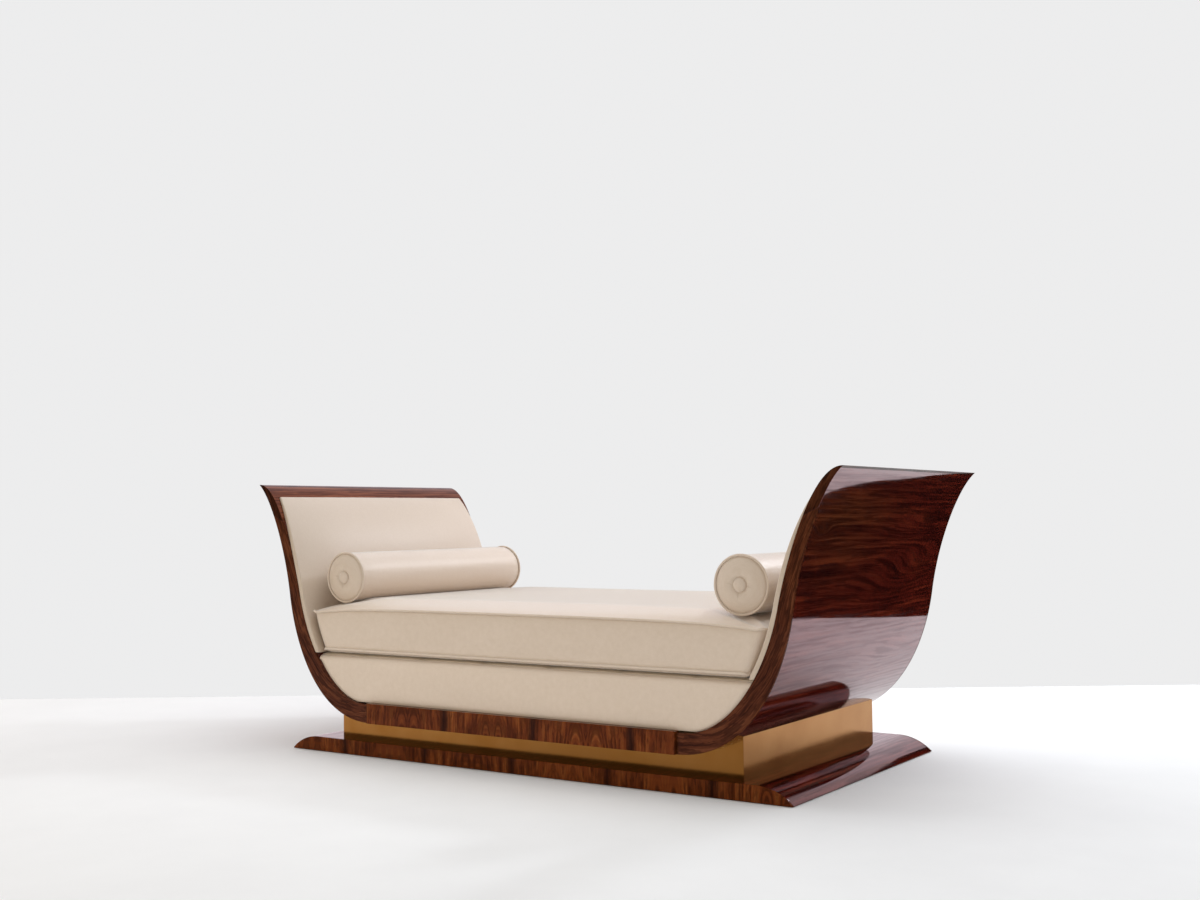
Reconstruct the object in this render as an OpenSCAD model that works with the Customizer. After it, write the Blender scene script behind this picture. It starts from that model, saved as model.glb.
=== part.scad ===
// Recamier: a double-ended daybed with S-shaped rosewood end boards, a brass-clad pedestal on a low
// plinth, a sprung seat, a loose crowned cushion, two end pads and two loose bolsters.
// X runs along the length, Y from front to back, Z up. The origin is on the floor, under the middle.

/* [Overall] */
// Length from tip to tip
tip_span = 2087; // [2050:1:2130]
// Depth over the end boards
body_d = 958; // [940:1:1040]
// Height of the tips above the underside of the body
body_h = 746; // [720:1:780]

/* [Plinth] */
// Length of the plinth's flat top past each end of the pedestal
plinth_step = 62.5; // [40:0.5:90]
// How far the plinth's front and back sit back from the end boards' edges
plinth_setback = 4.5; // [0:0.5:30]
// Thickness of the plinth
plinth_t = 43.5; // [38:0.5:60]
// Length of the convex nosing at each end
nosing_l = 105; // [80:1:125]
// Height of the blunt edge at the foot of a nosing
nosing_foot_h = 1.5; // [1:0.5:6]
// Thickness of the cross-banded lippings
lipping_t = 6; // [3:0.5:12]

/* [Floor glides] */
// Diameter of a glide
glide_d = 30; // [20:1:40]
// Thickness of a glide
glide_t = 4.5; // [3.5:0.5:8]
// How far a glide stands out below the plinth
glide_proud = 1.5; // [1:0.5:2.5]
// Distance from the plinth's front or back to a glide's centre
glide_edge = 62; // [40:1:90]
// Distance from a nosing's joint to an end glide's centre
glide_end = 62.5; // [40:0.5:90]

/* [Pedestal] */
// How far the pedestal reaches past the roots of the end boards
ped_past_root = 166; // [120:1:190]
// How far the brass sits back from the end boards' edges
ped_setback = 61; // [40:1:100]
// Height from the plinth to the underside of the body
ped_h = 59; // [52:1:80]
// Thickness of the boards behind the brass
ped_board_t = 22; // [16:1:28]
// Thickness of the brass sheets
brass_t = 1.5; // [1:0.1:3]
// Side of a corner block
corner_block = 50; // [36:1:60]
// Distance from the middle cross rail to the next ones
cross_rail_pitch = 300; // [240:1:360]

/* [Body] */
// Thickness of the bottom board
bottom_t = 22; // [18:1:30]
// Height of the front and back rails
rail_h = 61; // [59:1:80]
// Thickness of the front and back rails
rail_t = 22; // [18:1:26]
// How far the rails stand out past the end boards' edges
rail_proud = 10; // [4:1:14]

/* [End boards] */
// Distance from an end board's root to its tip, along the daybed
end_reach = 489.5; // [470:0.5:510]
// Thickness at the root
root_t = 57; // [50:1:59]
// Thickness at the waist
waist_t = 43.3; // [36:0.1:48]
// Blunt width of the tip
tip_t = 3; // [2:0.5:5]
// Distance from the root to the outer face at the waist, along the daybed
waist_reach = 346; // [332:1:358]
// Height of the waist above the underside of the body
waist_up = 389; // [370:1:410]
// Lean of the outer face at the waist, in degrees
waist_lean = 8.6; // [5:0.1:12]
// Lean of the inner face at the waist, in degrees
inner_waist_lean = 11.8; // [9:0.1:14]
// Lean of the outer face at the tip, in degrees
tip_lean = 51; // [40:1:60]
// Thickness of the edge bands
edge_band_t = 6; // [4:0.5:10]
// Reach of the outer curve as it leaves the flat bottom
outer_root_reach = 218; // [200:1:235]
// Reach of the outer curve below the waist
outer_low_reach = 176; // [160:1:190]
// Reach of the outer curve above the waist
outer_high_reach = 152; // [130:1:170]
// Reach of the outer curve at the tip
outer_tip_reach = 69; // [55:1:85]
// Flat length at the root of the inner face
inner_root_run = 21; // [10:1:30]
// Reach of the inner curve as it leaves the root
inner_root_reach = 127; // [112:1:140]
// Reach of the inner curve below the waist
inner_low_reach = 192; // [178:1:205]
// Reach of the inner curve above the waist
inner_high_reach = 80; // [65:1:95]
// Reach of the inner curve at the tip
inner_tip_reach = 91; // [75:1:105]

/* [Seat] */
// Height of the seat frame's top above the underside of the body
frame_up = 178; // [165:1:180]
// Thickness of the seat frame's rails
frame_rail_t = 25; // [20:1:30]
// How far the outer side of an end rail lies past the root
frame_past_root = 181; // [166:1:191]
// Thickness of the deck pad
deck_t = 23.8; // [15:0.1:35]
// How far the apron sits back from the end boards' edges
apron_setback = 7; // [4:1:16]
// Thickness of the apron's padding
apron_t = 22; // [19:1:30]
// Radius of the apron's rolled top edge
apron_roll_r = 13; // [6:1:18]
// Height of a stretcher
stretcher_h = 64; // [40:1:90]
// Distance from the root to an outer stretcher's centre
stretcher_inset = 134; // [100:1:180]
// Width of a webbing strip
web_w = 50; // [40:1:60]
// Thickness of the webbing
web_t = 2; // [1.5:0.1:3]
// Distance between cross strips of webbing
web_cross_pitch = 75; // [65:1:110]
// Distance between long strips of webbing
web_long_pitch = 140; // [110:1:170]

/* [End pads] */
// Thickness of a pad along its sides
pad_edge_t = 15; // [10:1:18]
// Thickness of a pad along its top edge
pad_top_t = 6; // [4:0.5:10]
// How much a pad swells in its middle
pad_crown = 30; // [15:1:34]
// Inset of a pad's sides at its top
pad_inset_top = 24; // [12:1:36]
// Inset of a pad's sides behind the cushion
pad_inset_low = 2; // [1:0.5:8]

/* [Cushion] */
// How far the cushion sits back from the end boards' edges
cushion_setback = 15; // [12:1:40]
// Height of the cushion's side between its seams
cushion_side_h = 123; // [100:1:140]
// How far the top swells above its seam
cushion_crown = 45; // [25:1:60]
// Radius of the cushion's corners
cushion_corner_r = 22; // [12:1:40]
// How far the long sides are drawn in between the corners
cushion_draw_in = 5; // [0:0.5:12]
// How far the sides bulge between their seams
cushion_bulge = 4; // [0:0.5:8]
// Diameter of the piping along the seams
cushion_piping_d = 6; // [4:0.5:9]
// Clearance of the cushion from a pad at its bottom seam
cushion_low_gap = 2; // [1:0.5:8]
// Clearance of the cushion from a pad at its top seam
cushion_top_gap = 11; // [8:0.5:20]

/* [Bolsters] */
// Diameter of a bolster's body
bolster_d = 158; // [130:1:175]
// How far a bolster's rims sit back from the end boards' edges
bolster_setback = 75; // [60:1:130]
// Room between the left bolster and its pad
left_bolster_room = 22; // [4:1:40]
// Room between the right bolster and its pad
right_bolster_room = 30; // [4:1:40]
// How far a bolster's end swells past its rim
bolster_puff = 18; // [8:1:24]
// Diameter of the piping round a bolster's rim
piping_d = 6; // [4:0.5:9]
// Diameter of a covered button
button_d = 35; // [24:1:42]
// Height of a covered button's dome
button_h = 6; // [4:0.5:10]

/* [Fasteners] */
// Diameter of a bolt
bolt_d = 8; // [6:0.5:10]
// Width of a bolt's hexagonal head across its corners
bolt_head_w = 15; // [12:0.5:18]
// Height of a bolt's head
bolt_head_h = 5.5; // [4:0.5:8]
// Length of thread that a bolt has in the pedestal
bolt_grip = 24; // [15:1:25]
// Distance from the middle to a plinth bolt in a cross rail
plinth_bolt_y = 150; // [120:1:200]
// Distance from the middle to a body bolt
body_bolt_y = 280; // [240:1:310]
// Diameter of a dowel
dowel_d = 10; // [8:0.5:12]
// Length of a dowel
dowel_l = 50; // [36:1:60]
// Distance between dowels
dowel_pitch = 140; // [100:1:150]

/* [Hidden] */
// Clearance between rigid pieces that are scribed or slipped together
fit_gap = 0.3;
// Clearance round anything soft
soft_gap = 0.3;
// How far a cutting shape runs past what it cuts
overrun = 5;
// Clearance round a bolt or a dowel in its hole
hole_gap = 0.2;

$fn = 64;
LOW_STEPS = 22;
HIGH_STEPS = 20;
scarf_outer_share = 0.6;
scarf_inner_share = 0.55;
pad_top_share = 0.75;
PAD_COLUMNS = 12;
pad_swell_start_share = 0.27;
pad_swell_power_share = 0.75;
LONG_STEPS = 14;
SHORT_STEPS = 8;
CORNER_STEPS = 5;
crown_long_power = 8;
crown_short_power = 12;
crown_roll_share = 0.65;
crown_ring_shares = [0.985, 0.96, 0.92, 0.85, 0.7, 0.45, 0.2];
end_ring_shares = [1, 0.8, 0.6, 0.44, 0.3, 0.2, 0.12, 0.05, 0];

ROSEWOOD = [0.30, 0.11, 0.07];
CROSSBAND = [0.38, 0.17, 0.09];
CORE = [0.72, 0.58, 0.40];
BRASS = [0.72, 0.53, 0.28];
CREAM = [0.87, 0.80, 0.70];
JUTE = [0.62, 0.52, 0.36];
STEEL = [0.60, 0.60, 0.62];
FELT = [0.25, 0.23, 0.22];

plinth_top = glide_proud + plinth_t;
body_z = plinth_top + ped_h;
bottom_top = body_z + bottom_t;
frame_top = body_z + frame_up;
web_top = frame_top + 2 * web_t + 2 * soft_gap;
deck_top = web_top + soft_gap + deck_t;
root_x = tip_span / 2 - end_reach;
flat_l = 2 * root_x;
side_y = body_d / 2;
rail_in_y = side_y + rail_proud - rail_t;
rail_top = body_z + rail_h;
apron_y = side_y - apron_setback;
apron_in_y = apron_y - apron_t;
ped_l = 2 * (root_x + ped_past_root);
ped_d = body_d - 2 * ped_setback;
nosing_x = ped_l / 2 + plinth_step;
plinth_d = body_d - 2 * plinth_setback;
frame_end_x = root_x + frame_past_root;
cushion_d = body_d - 2 * cushion_setback;
bolster_l = body_d - 2 * bolster_setback;

// A point of a cubic Bezier curve
function bezier(a, b, c, d, t) =
    pow(1 - t, 3) * a + 3 * pow(1 - t, 2) * t * b + 3 * (1 - t) * t * t * c + pow(t, 3) * d;
function bezier_points(a, b, c, d, first, steps) =
    [for (i = [first:steps]) bezier(a, b, c, d, i / steps)];
// Unit vector in the XZ plane that leans outwards from upright
function leaning(angle) = [sin(angle), cos(angle)];
function reversed(list) = [for (i = [len(list) - 1:-1:0]) list[i]];
function flipped(list) = [for (p = list) [-p[0], p[1]]];

// Outer face of an end board from its root to its tip
outer_root = [root_x, body_z];
outer_waist = [root_x + waist_reach, body_z + waist_up];
outer_tip = [tip_span / 2, body_z + body_h];
outer_points = concat(
    bezier_points(outer_root, outer_root + [outer_root_reach, 0],
        outer_waist - outer_low_reach * leaning(waist_lean), outer_waist, 0, LOW_STEPS),
    bezier_points(outer_waist, outer_waist + outer_high_reach * leaning(waist_lean),
        outer_tip - outer_tip_reach * leaning(tip_lean), outer_tip, 1, HIGH_STEPS));

// Inner face, which draws in from the root's thickness to the blunt tip
inner_root = [root_x + inner_root_run, body_z + root_t];
inner_waist = outer_waist + waist_t * [-cos(waist_lean), sin(waist_lean)];
inner_tip = outer_tip - [tip_t, 0];
inner_points = concat([[root_x, body_z + root_t]],
    bezier_points(inner_root, inner_root + [inner_root_reach, 0],
        inner_waist - inner_low_reach * leaning(inner_waist_lean), inner_waist, 0, LOW_STEPS),
    bezier_points(inner_waist, inner_waist + inner_high_reach * leaning(inner_waist_lean),
        inner_tip - [inner_tip_reach, 0], inner_tip, 1, HIGH_STEPS));

// Where the slanting scarf joint under the crest meets the two faces, and where the pad ends
outer_scarf = LOW_STEPS + round(scarf_outer_share * HIGH_STEPS);
inner_scarf = LOW_STEPS + round(scarf_inner_share * HIGH_STEPS) + 1;
pad_last = LOW_STEPS + round(pad_top_share * HIGH_STEPS) + 1;
below_scarf = concat([for (i = [0:outer_scarf]) outer_points[i]],
    [for (i = [inner_scarf:-1:0]) inner_points[i]]);
above_scarf = concat([for (i = [outer_scarf:len(outer_points) - 1]) outer_points[i]],
    [for (i = [len(inner_points) - 1:-1:inner_scarf]) inner_points[i]]);

// Direction along a line of points, and square to it towards the seat
function along(points, i) =
    let (d = points[min(i + 1, len(points) - 1)] - points[max(i - 1, 0)]) d / norm(d);
function inward(points, i) = let (d = along(points, i)) [-d[1], d[0]];
function shifted(points, gap) =
    [for (i = [0:len(points) - 1]) points[i] + gap * inward(points, i)];

// Last point of a rising line of points that lies below a height, and the line's X at that height
function last_below(points, z, i = 0) =
    (i + 1 >= len(points) - 1 || points[i + 1][1] > z) ? i : last_below(points, z, i + 1);
function x_at(points, z) =
    let (i = last_below(points, z), a = points[i], b = points[i + 1])
    a[0] + (b[0] - a[0]) * (z - a[1]) / (b[1] - a[1]);

// Whole outline of the boat over both ends, closed between the tips
function boat_outline(points) = concat(reversed(flipped(points)), points);

module upright(depth) {
    translate([0, depth / 2, 0]) rotate([90, 0, 0]) linear_extrude(depth) children();
}

// Everything above the outer faces and the flat bottom
module boat_zone(depth) {
    upright(depth) polygon(boat_outline(shifted(outer_points, -fit_gap)));
}

// The space between the inner faces, down to the bottom board
module seat_zone(depth, gap) {
    upright(depth) union() {
        polygon(boat_outline(shifted(inner_points, gap)));
        translate([-root_x + gap, bottom_top])
            square([flat_l - 2 * gap, body_z + root_t + overrun - bottom_top]);
    }
}

module on_side(side) {
    mirror([side < 0 ? 1 : 0, 0, 0]) children();
}

module block(size) {
    translate([-size[0] / 2, -size[1] / 2, 0]) cube(size);
}

// Plinth

module nosing_outline() {
    drop = plinth_t - nosing_foot_h;
    nosing_r = (nosing_l * nosing_l + drop * drop) / (2 * drop);
    intersection() {
        square([nosing_l, plinth_t]);
        translate([0, plinth_t - nosing_r]) circle(r = nosing_r, $fn = 180);
    }
}

module plinth_outline() {
    translate([-nosing_x, glide_proud]) square([2 * nosing_x, plinth_t]);
    for (side = [-1, 1]) mirror([side < 0 ? 1 : 0, 0])
        translate([nosing_x, glide_proud]) nosing_outline();
}

module at_glides() {
    end_x = nosing_x - glide_end;
    for (i = [-1:2 / 3:1]) for (side = [-1, 1])
        translate([i * end_x, side * (plinth_d / 2 - glide_edge), 0]) children();
}

// Places of the bolts that hold the plinth to the pedestal
block_x = ped_l / 2 - brass_t - ped_board_t - corner_block / 2;
block_y = ped_d / 2 - brass_t - ped_board_t - corner_block / 2;
module at_plinth_bolts() {
    for (sx = [-1, 1]) for (sy = [-1, 1]) {
        translate([sx * block_x, sy * block_y, 0]) children();
        translate([sx * cross_rail_pitch, sy * plinth_bolt_y, 0]) children();
    }
}

module at_body_bolts() {
    for (sx = [-1, 1]) for (sy = [-1, 1])
        translate([sx * cross_rail_pitch, sy * body_bolt_y, 0]) children();
}

counterbore_d = bolt_head_w + 4 * hole_gap;
counterbore_h = bolt_head_h + 2 * hole_gap;

module bolt_hole(length) {
    cylinder(d = bolt_d + 2 * hole_gap, h = length);
}

module floor_glides() {
    color(FELT) at_glides() cylinder(d = glide_d, h = glide_t);
}

module base_board() {
    depth = plinth_d - 2 * lipping_t;
    color(ROSEWOOD) difference() {
        translate([0, 0, glide_proud]) block([2 * nosing_x, depth, plinth_t]);
        at_glides() cylinder(d = glide_d + 2 * fit_gap, h = glide_t + fit_gap);
        at_plinth_bolts() {
            translate([0, 0, glide_proud - overrun])
                cylinder(d = counterbore_d, h = counterbore_h + overrun);
            bolt_hole(plinth_top + overrun);
        }
    }
}

module base_nosing(side) {
    color(ROSEWOOD) on_side(side) translate([nosing_x, 0, glide_proud])
        upright(plinth_d - 2 * lipping_t) nosing_outline();
}

module base_lipping(side) {
    color(CROSSBAND) translate([0, side * (plinth_d - lipping_t) / 2, 0])
        upright(lipping_t) plinth_outline();
}

module plinth_bolts() {
    color(STEEL) at_plinth_bolts() translate([0, 0, glide_proud + hole_gap]) {
        cylinder(d = bolt_head_w, h = bolt_head_h, $fn = 6);
        cylinder(d = bolt_d, h = plinth_t + bolt_grip - 2 * hole_gap);
    }
}

// Pedestal

module pedestal_long_board(side) {
    y = side * (ped_d / 2 - brass_t - ped_board_t / 2);
    color(CORE) difference() {
        translate([0, y, plinth_top]) block([ped_l - 2 * brass_t, ped_board_t, waist_up]);
        boat_zone(ped_d + overrun);
    }
}

module pedestal_end_board(side) {
    color(CORE) difference() {
        translate([side * (ped_l / 2 - brass_t - ped_board_t / 2), 0, plinth_top])
            block([ped_board_t, ped_d - 2 * brass_t - 2 * ped_board_t, waist_up]);
        boat_zone(ped_d + overrun);
    }
}

module brass_long_sheet(side) {
    color(BRASS) difference() {
        translate([0, side * (ped_d - brass_t) / 2, plinth_top]) block([ped_l, brass_t, waist_up]);
        boat_zone(ped_d + overrun);
    }
}

module brass_end_sheet(side) {
    color(BRASS) difference() {
        translate([side * (ped_l - brass_t) / 2, 0, plinth_top])
            block([brass_t, ped_d - 2 * brass_t, waist_up]);
        boat_zone(ped_d + overrun);
    }
}

module pedestal_cross_rails() {
    depth = ped_d - 2 * brass_t - 2 * ped_board_t;
    color(CORE) difference() {
        for (i = [-1:1]) translate([i * cross_rail_pitch, 0, plinth_top])
            block([ped_board_t, depth, ped_h - fit_gap]);
        at_plinth_bolts() bolt_hole(plinth_top + bolt_grip + fit_gap);
        at_body_bolts() translate([0, 0, body_z - bolt_grip - fit_gap])
            bolt_hole(bolt_grip + overrun);
    }
}

module corner_blocks() {
    color(CORE) difference() {
        for (sx = [-1, 1]) for (sy = [-1, 1]) translate([sx * block_x, sy * block_y, plinth_top])
            block([corner_block, corner_block, ped_h - fit_gap]);
        at_plinth_bolts() bolt_hole(plinth_top + bolt_grip + fit_gap);
    }
}

module body_bolts() {
    color(STEEL) at_body_bolts() {
        translate([0, 0, body_z - bolt_grip]) cylinder(d = bolt_d, h = bolt_grip + bottom_t);
        translate([0, 0, bottom_top]) cylinder(d = bolt_head_w, h = bolt_head_h, $fn = 6);
    }
}

// Body

dowel_z = body_z + bottom_t / 2;

module at_dowels(side) {
    for (i = [-2.5:1:2.5]) translate([side * root_x, i * dowel_pitch, dowel_z])
        rotate([0, 90, 0]) children();
}

module dowel_holes(side) {
    at_dowels(side)
        cylinder(d = dowel_d + 2 * hole_gap, h = dowel_l + 2 * fit_gap, center = true);
}

module bottom_board() {
    color(CORE) difference() {
        translate([0, 0, body_z]) block([flat_l, 2 * rail_in_y, bottom_t]);
        for (side = [-1, 1]) dowel_holes(side);
        at_body_bolts() translate([0, 0, body_z - overrun]) bolt_hole(bottom_t + 2 * overrun);
    }
}

module body_dowels() {
    color(CORE) for (side = [-1, 1]) at_dowels(side)
        cylinder(d = dowel_d, h = dowel_l, center = true);
}

module rail(side) {
    color(CROSSBAND) translate([0, side * (rail_in_y + rail_t / 2), body_z])
        block([flat_l, rail_t, rail_h]);
}

module end_board(side) {
    color(ROSEWOOD) difference() {
        on_side(side) upright(body_d - 2 * edge_band_t) polygon(below_scarf);
        dowel_holes(side);
    }
}

module crest(side) {
    color(ROSEWOOD) on_side(side) upright(body_d) polygon(above_scarf);
}

module edge_band(side, front) {
    color(ROSEWOOD) on_side(side) translate([0, front * (body_d - edge_band_t) / 2, 0])
        upright(edge_band_t) polygon(below_scarf);
}

// Seat

frame_y = apron_in_y - soft_gap;

module frame_long_rail(front) {
    color(CORE) intersection() {
        seat_zone(body_d, fit_gap);
        translate([0, front * (frame_y - frame_rail_t / 2), bottom_top])
            block([tip_span, frame_rail_t, frame_top - bottom_top]);
    }
}

module frame_end_rail(side) {
    color(CORE) intersection() {
        seat_zone(body_d, fit_gap);
        translate([side * (frame_end_x - frame_rail_t / 2), 0, bottom_top])
            block([frame_rail_t, 2 * (frame_y - frame_rail_t), frame_top - bottom_top]);
    }
}

module frame_stretchers() {
    color(CORE) for (i = [-1:1]) translate([i * (root_x - stretcher_inset), 0, bottom_top])
        block([frame_rail_t, 2 * (frame_y - frame_rail_t), stretcher_h]);
}

web_cross_n = floor((frame_end_x - web_w / 2) / web_cross_pitch);
web_long_n = floor((frame_y - frame_rail_t - web_w) / web_long_pitch);

module cross_webbing() {
    color(JUTE) for (i = [-web_cross_n:web_cross_n])
        translate([i * web_cross_pitch, 0, frame_top + soft_gap])
            block([web_w, 2 * frame_y, web_t]);
}

module long_webbing() {
    color(JUTE) for (i = [-web_long_n:web_long_n])
        translate([0, i * web_long_pitch, frame_top + web_t + 2 * soft_gap])
            block([2 * frame_end_x, web_w, web_t]);
}

module deck_pad() {
    color(CREAM) intersection() {
        seat_zone(body_d, soft_gap);
        translate([0, 0, web_top + soft_gap])
            block([tip_span, 2 * frame_y, deck_top - web_top - soft_gap]);
    }
}

// Padded front of the seat, rolled over at its top and fitted to the inner faces
module apron(front) {
    color(CREAM) intersection() {
        difference() {
            seat_zone(body_d, 2 * soft_gap);
            block([flat_l + 2 * soft_gap, 2 * body_d, rail_top + soft_gap]);
        }
        mirror([0, front < 0 ? 1 : 0, 0]) rotate([90, 0, 90])
            linear_extrude(tip_span, center = true) union() {
                translate([apron_in_y, body_z])
                    square([apron_t, deck_top - apron_roll_r - body_z]);
                translate([apron_in_y, deck_top - apron_roll_r])
                    square([apron_t - apron_roll_r, apron_roll_r]);
                translate([apron_y - apron_roll_r, deck_top - apron_roll_r]) intersection() {
                    circle(r = apron_roll_r);
                    square(apron_roll_r);
                }
            }
    }
}

// End pads: a grid over the inner face, from the deck up to the crest

pad_bottom = deck_top + soft_gap;
pad_back = shifted(inner_points, soft_gap);
pad_first = last_below(pad_back, pad_bottom) + 1;
pad_line = concat([[x_at(pad_back, pad_bottom), pad_bottom]],
    [for (i = [pad_first:pad_last]) pad_back[i]]);
pad_rows = len(pad_line) - 1;

function pad_swell(u) =
    u <= pad_swell_start_share ? 0 :
    let (w = (u - pad_swell_start_share) / (1 - pad_swell_start_share))
    w >= 1 ? 0 : pow(sin(180 * w), pad_swell_power_share);
function pad_t(u, v) =
    let (side_t = pad_edge_t + (pad_top_t - pad_edge_t) * pow(u, 4))
    side_t + pad_crown * pad_swell(u) * (1 - pow(v, 4));
function pad_half_d(u) =
    side_y - pad_inset_low - (pad_inset_top - pad_inset_low) * pow(max(0, 2 * u - 1), 2);
function pad_point(i, j, lift) =
    let (u = i / pad_rows, v = 2 * j / PAD_COLUMNS - 1, n = inward(pad_line, i),
        t = i == 0 ? [-pad_t(0, v), 0] : pad_t(u, v) * n, p = pad_line[i] + lift * t)
    [p[0], v * pad_half_d(u), p[1]];

module end_pad(side) {
    wide = PAD_COLUMNS + 1;
    face = (pad_rows + 1) * wide;
    points = [for (lift = [0, 1]) for (i = [0:pad_rows]) for (j = [0:PAD_COLUMNS])
        pad_point(i, j, lift)];
    function two(a, b, c, d) = [[a, b, c], [a, c, d]];
    faces = concat(
        [for (i = [0:pad_rows - 1]) for (j = [0:PAD_COLUMNS - 1]) let (k = i * wide + j)
            each two(k, k + 1, k + wide + 1, k + wide)],
        [for (i = [0:pad_rows - 1]) for (j = [0:PAD_COLUMNS - 1]) let (k = face + i * wide + j)
            each two(k, k + wide, k + wide + 1, k + 1)],
        [for (j = [0:PAD_COLUMNS - 1]) each two(j, face + j, face + j + 1, j + 1)],
        [for (j = [0:PAD_COLUMNS - 1]) let (k = pad_rows * wide + j)
            each two(k, k + 1, face + k + 1, face + k)],
        [for (i = [0:pad_rows - 1]) let (k = i * wide)
            each two(k, k + wide, face + k + wide, face + k)],
        [for (i = [0:pad_rows - 1]) let (k = i * wide + PAD_COLUMNS)
            each two(k, face + k, face + k + wide, k + wide)]);
    color(CREAM) on_side(side) polyhedron(points, faces);
}

// Cushion: rings of a rounded rectangle, up its sides and then in over its crown

cushion_z = deck_top + soft_gap;
cushion_seam_z = cushion_z + cushion_side_h;
pad_face = shifted(inner_points, soft_gap + pad_edge_t);
cushion_low_x = x_at(pad_face, cushion_z) - cushion_low_gap;
cushion_top_x = x_at(pad_face, cushion_seam_z) - cushion_top_gap;

function ring_outline(half_x) =
    let (r = cushion_corner_r, hx = half_x - r, hy = cushion_d / 2 - r)
    concat(
        [for (i = [0:LONG_STEPS - 1]) [hx * (1 - 2 * i / LONG_STEPS), hy + r]],
        [for (i = [0:CORNER_STEPS - 1]) let (a = 90 + 90 * i / CORNER_STEPS)
            [-hx + r * cos(a), hy + r * sin(a)]],
        [for (i = [0:SHORT_STEPS - 1]) [-hx - r, hy * (1 - 2 * i / SHORT_STEPS)]],
        [for (i = [0:CORNER_STEPS - 1]) let (a = 180 + 90 * i / CORNER_STEPS)
            [-hx + r * cos(a), -hy + r * sin(a)]],
        [for (i = [0:LONG_STEPS - 1]) [hx * (2 * i / LONG_STEPS - 1), -hy - r]],
        [for (i = [0:CORNER_STEPS - 1]) let (a = 270 + 90 * i / CORNER_STEPS)
            [hx + r * cos(a), -hy + r * sin(a)]],
        [for (i = [0:SHORT_STEPS - 1]) [hx + r, hy * (2 * i / SHORT_STEPS - 1)]],
        [for (i = [0:CORNER_STEPS - 1]) let (a = 90 * i / CORNER_STEPS)
            [hx + r * cos(a), hy + r * sin(a)]]);

// One ring round the cushion at a height: its long sides are drawn in between its corners, and it
// is grown outwards where the sides bulge and along the piping
function side_ring(z, grow) =
    let (half_x = cushion_low_x + (cushion_top_x - cushion_low_x) * (z - cushion_z) / cushion_side_h,
        half_y = cushion_d / 2)
    [for (p = ring_outline(half_x))
        let (pull = cushion_draw_in * (1 - pow(p[0] / half_x, 4)) * pow(p[1] / half_y, 4))
        [p[0] * (1 + grow / half_x), p[1] * (1 + (grow - pull) / half_y), z]];

// Height of the top over its seam: nearly flat, and rolled down along all four sides
function crown_at(x, y) =
    let (long = 1 - pow(min(1, abs(x) / cushion_top_x), crown_long_power),
        short = 1 - pow(min(1, abs(y) / (cushion_d / 2)), crown_short_power))
    cushion_crown * pow(long * short, crown_roll_share);

module seat_cushion() {
    r = cushion_piping_d / 2;
    sides = [
        side_ring(cushion_z, 0), side_ring(cushion_z + r, r), side_ring(cushion_z + 2 * r, 0),
        side_ring(cushion_z + cushion_side_h / 2, cushion_bulge),
        side_ring(cushion_seam_z - r, 0), side_ring(cushion_seam_z, r)];
    top = side_ring(cushion_seam_z, 0);
    count = len(top);
    crown = [for (s = crown_ring_shares) for (p = top)
        [s * p[0], s * p[1], cushion_seam_z + crown_at(s * p[0], s * p[1])]];
    points = concat([for (ring = sides) each ring], crown,
        [[0, 0, cushion_z], [0, 0, cushion_seam_z + cushion_crown]]);
    rings = len(sides) + len(crown_ring_shares);
    under = rings * count;
    over = under + 1;
    faces = concat(
        [for (k = [0:rings - 2]) for (i = [0:count - 1])
            let (a = k * count + i, b = k * count + (i + 1) % count)
            each [[a, a + count, b + count], [a, b + count, b]]],
        [for (i = [0:count - 1]) [under, i, (i + 1) % count]],
        [for (i = [0:count - 1]) let (k = (rings - 1) * count)
            [over, k + (i + 1) % count, k + i]]);
    color(CREAM) polyhedron(points, faces);
}

// Bolsters: turned about an axis along Y, resting on the crown of the cushion

bolster_r = bolster_d / 2;
bolster_top_r = bolster_r + piping_d / 4;
pad_swollen_face = shifted(inner_points, soft_gap + pad_edge_t + pad_crown);
function bolster_x(room) =
    x_at(pad_swollen_face, cushion_seam_z + cushion_crown + bolster_r) - bolster_top_r - room;
REST_STEPS = 24;
function bolster_z(x) =
    soft_gap + cushion_seam_z + max([for (i = [-REST_STEPS:REST_STEPS])
        let (dx = bolster_r * i / REST_STEPS)
        crown_at(x + dx, 0) + sqrt(bolster_r * bolster_r - dx * dx)]);

// Height of a bolster's end over its rim: a dome with a dimple, flat where the button lies
dimple_r = button_d / 2 + soft_gap;
dimple_h = bolster_puff - button_h;
function dome_height(r) = bolster_puff * (1 - pow(r / bolster_r, 2));
function end_height(r) =
    dome_height(r) - (dome_height(dimple_r) - dimple_h) * exp(-pow(2 * (r - dimple_r) / button_d, 2));

module bolster_form() {
    rim = bolster_l / 2;
    face_r = bolster_r - piping_d / 2;
    ends = concat(
        [for (s = end_ring_shares) let (r = dimple_r + s * (face_r - dimple_r))
            [r, rim + end_height(r)]],
        [[0, rim + dimple_h]]);
    rotate_extrude($fn = 96) union() {
        polygon(concat([[bolster_r, rim - piping_d]], ends,
            [for (p = reversed(ends)) [p[0], -p[1]]], [[bolster_r, piping_d - rim]]));
        for (side = [-1, 1]) translate([bolster_r - piping_d / 4, side * (rim - piping_d / 2)])
            circle(d = piping_d, $fn = 24);
    }
}

module place_bolster(side) {
    x = bolster_x(side < 0 ? left_bolster_room : right_bolster_room);
    translate([side * x, 0, bolster_z(x)]) rotate([90, 0, 0]) children();
}

module bolster(side) {
    color(CREAM) place_bolster(side) bolster_form();
}

button_seat = bolster_l / 2 + dimple_h + soft_gap;

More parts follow.
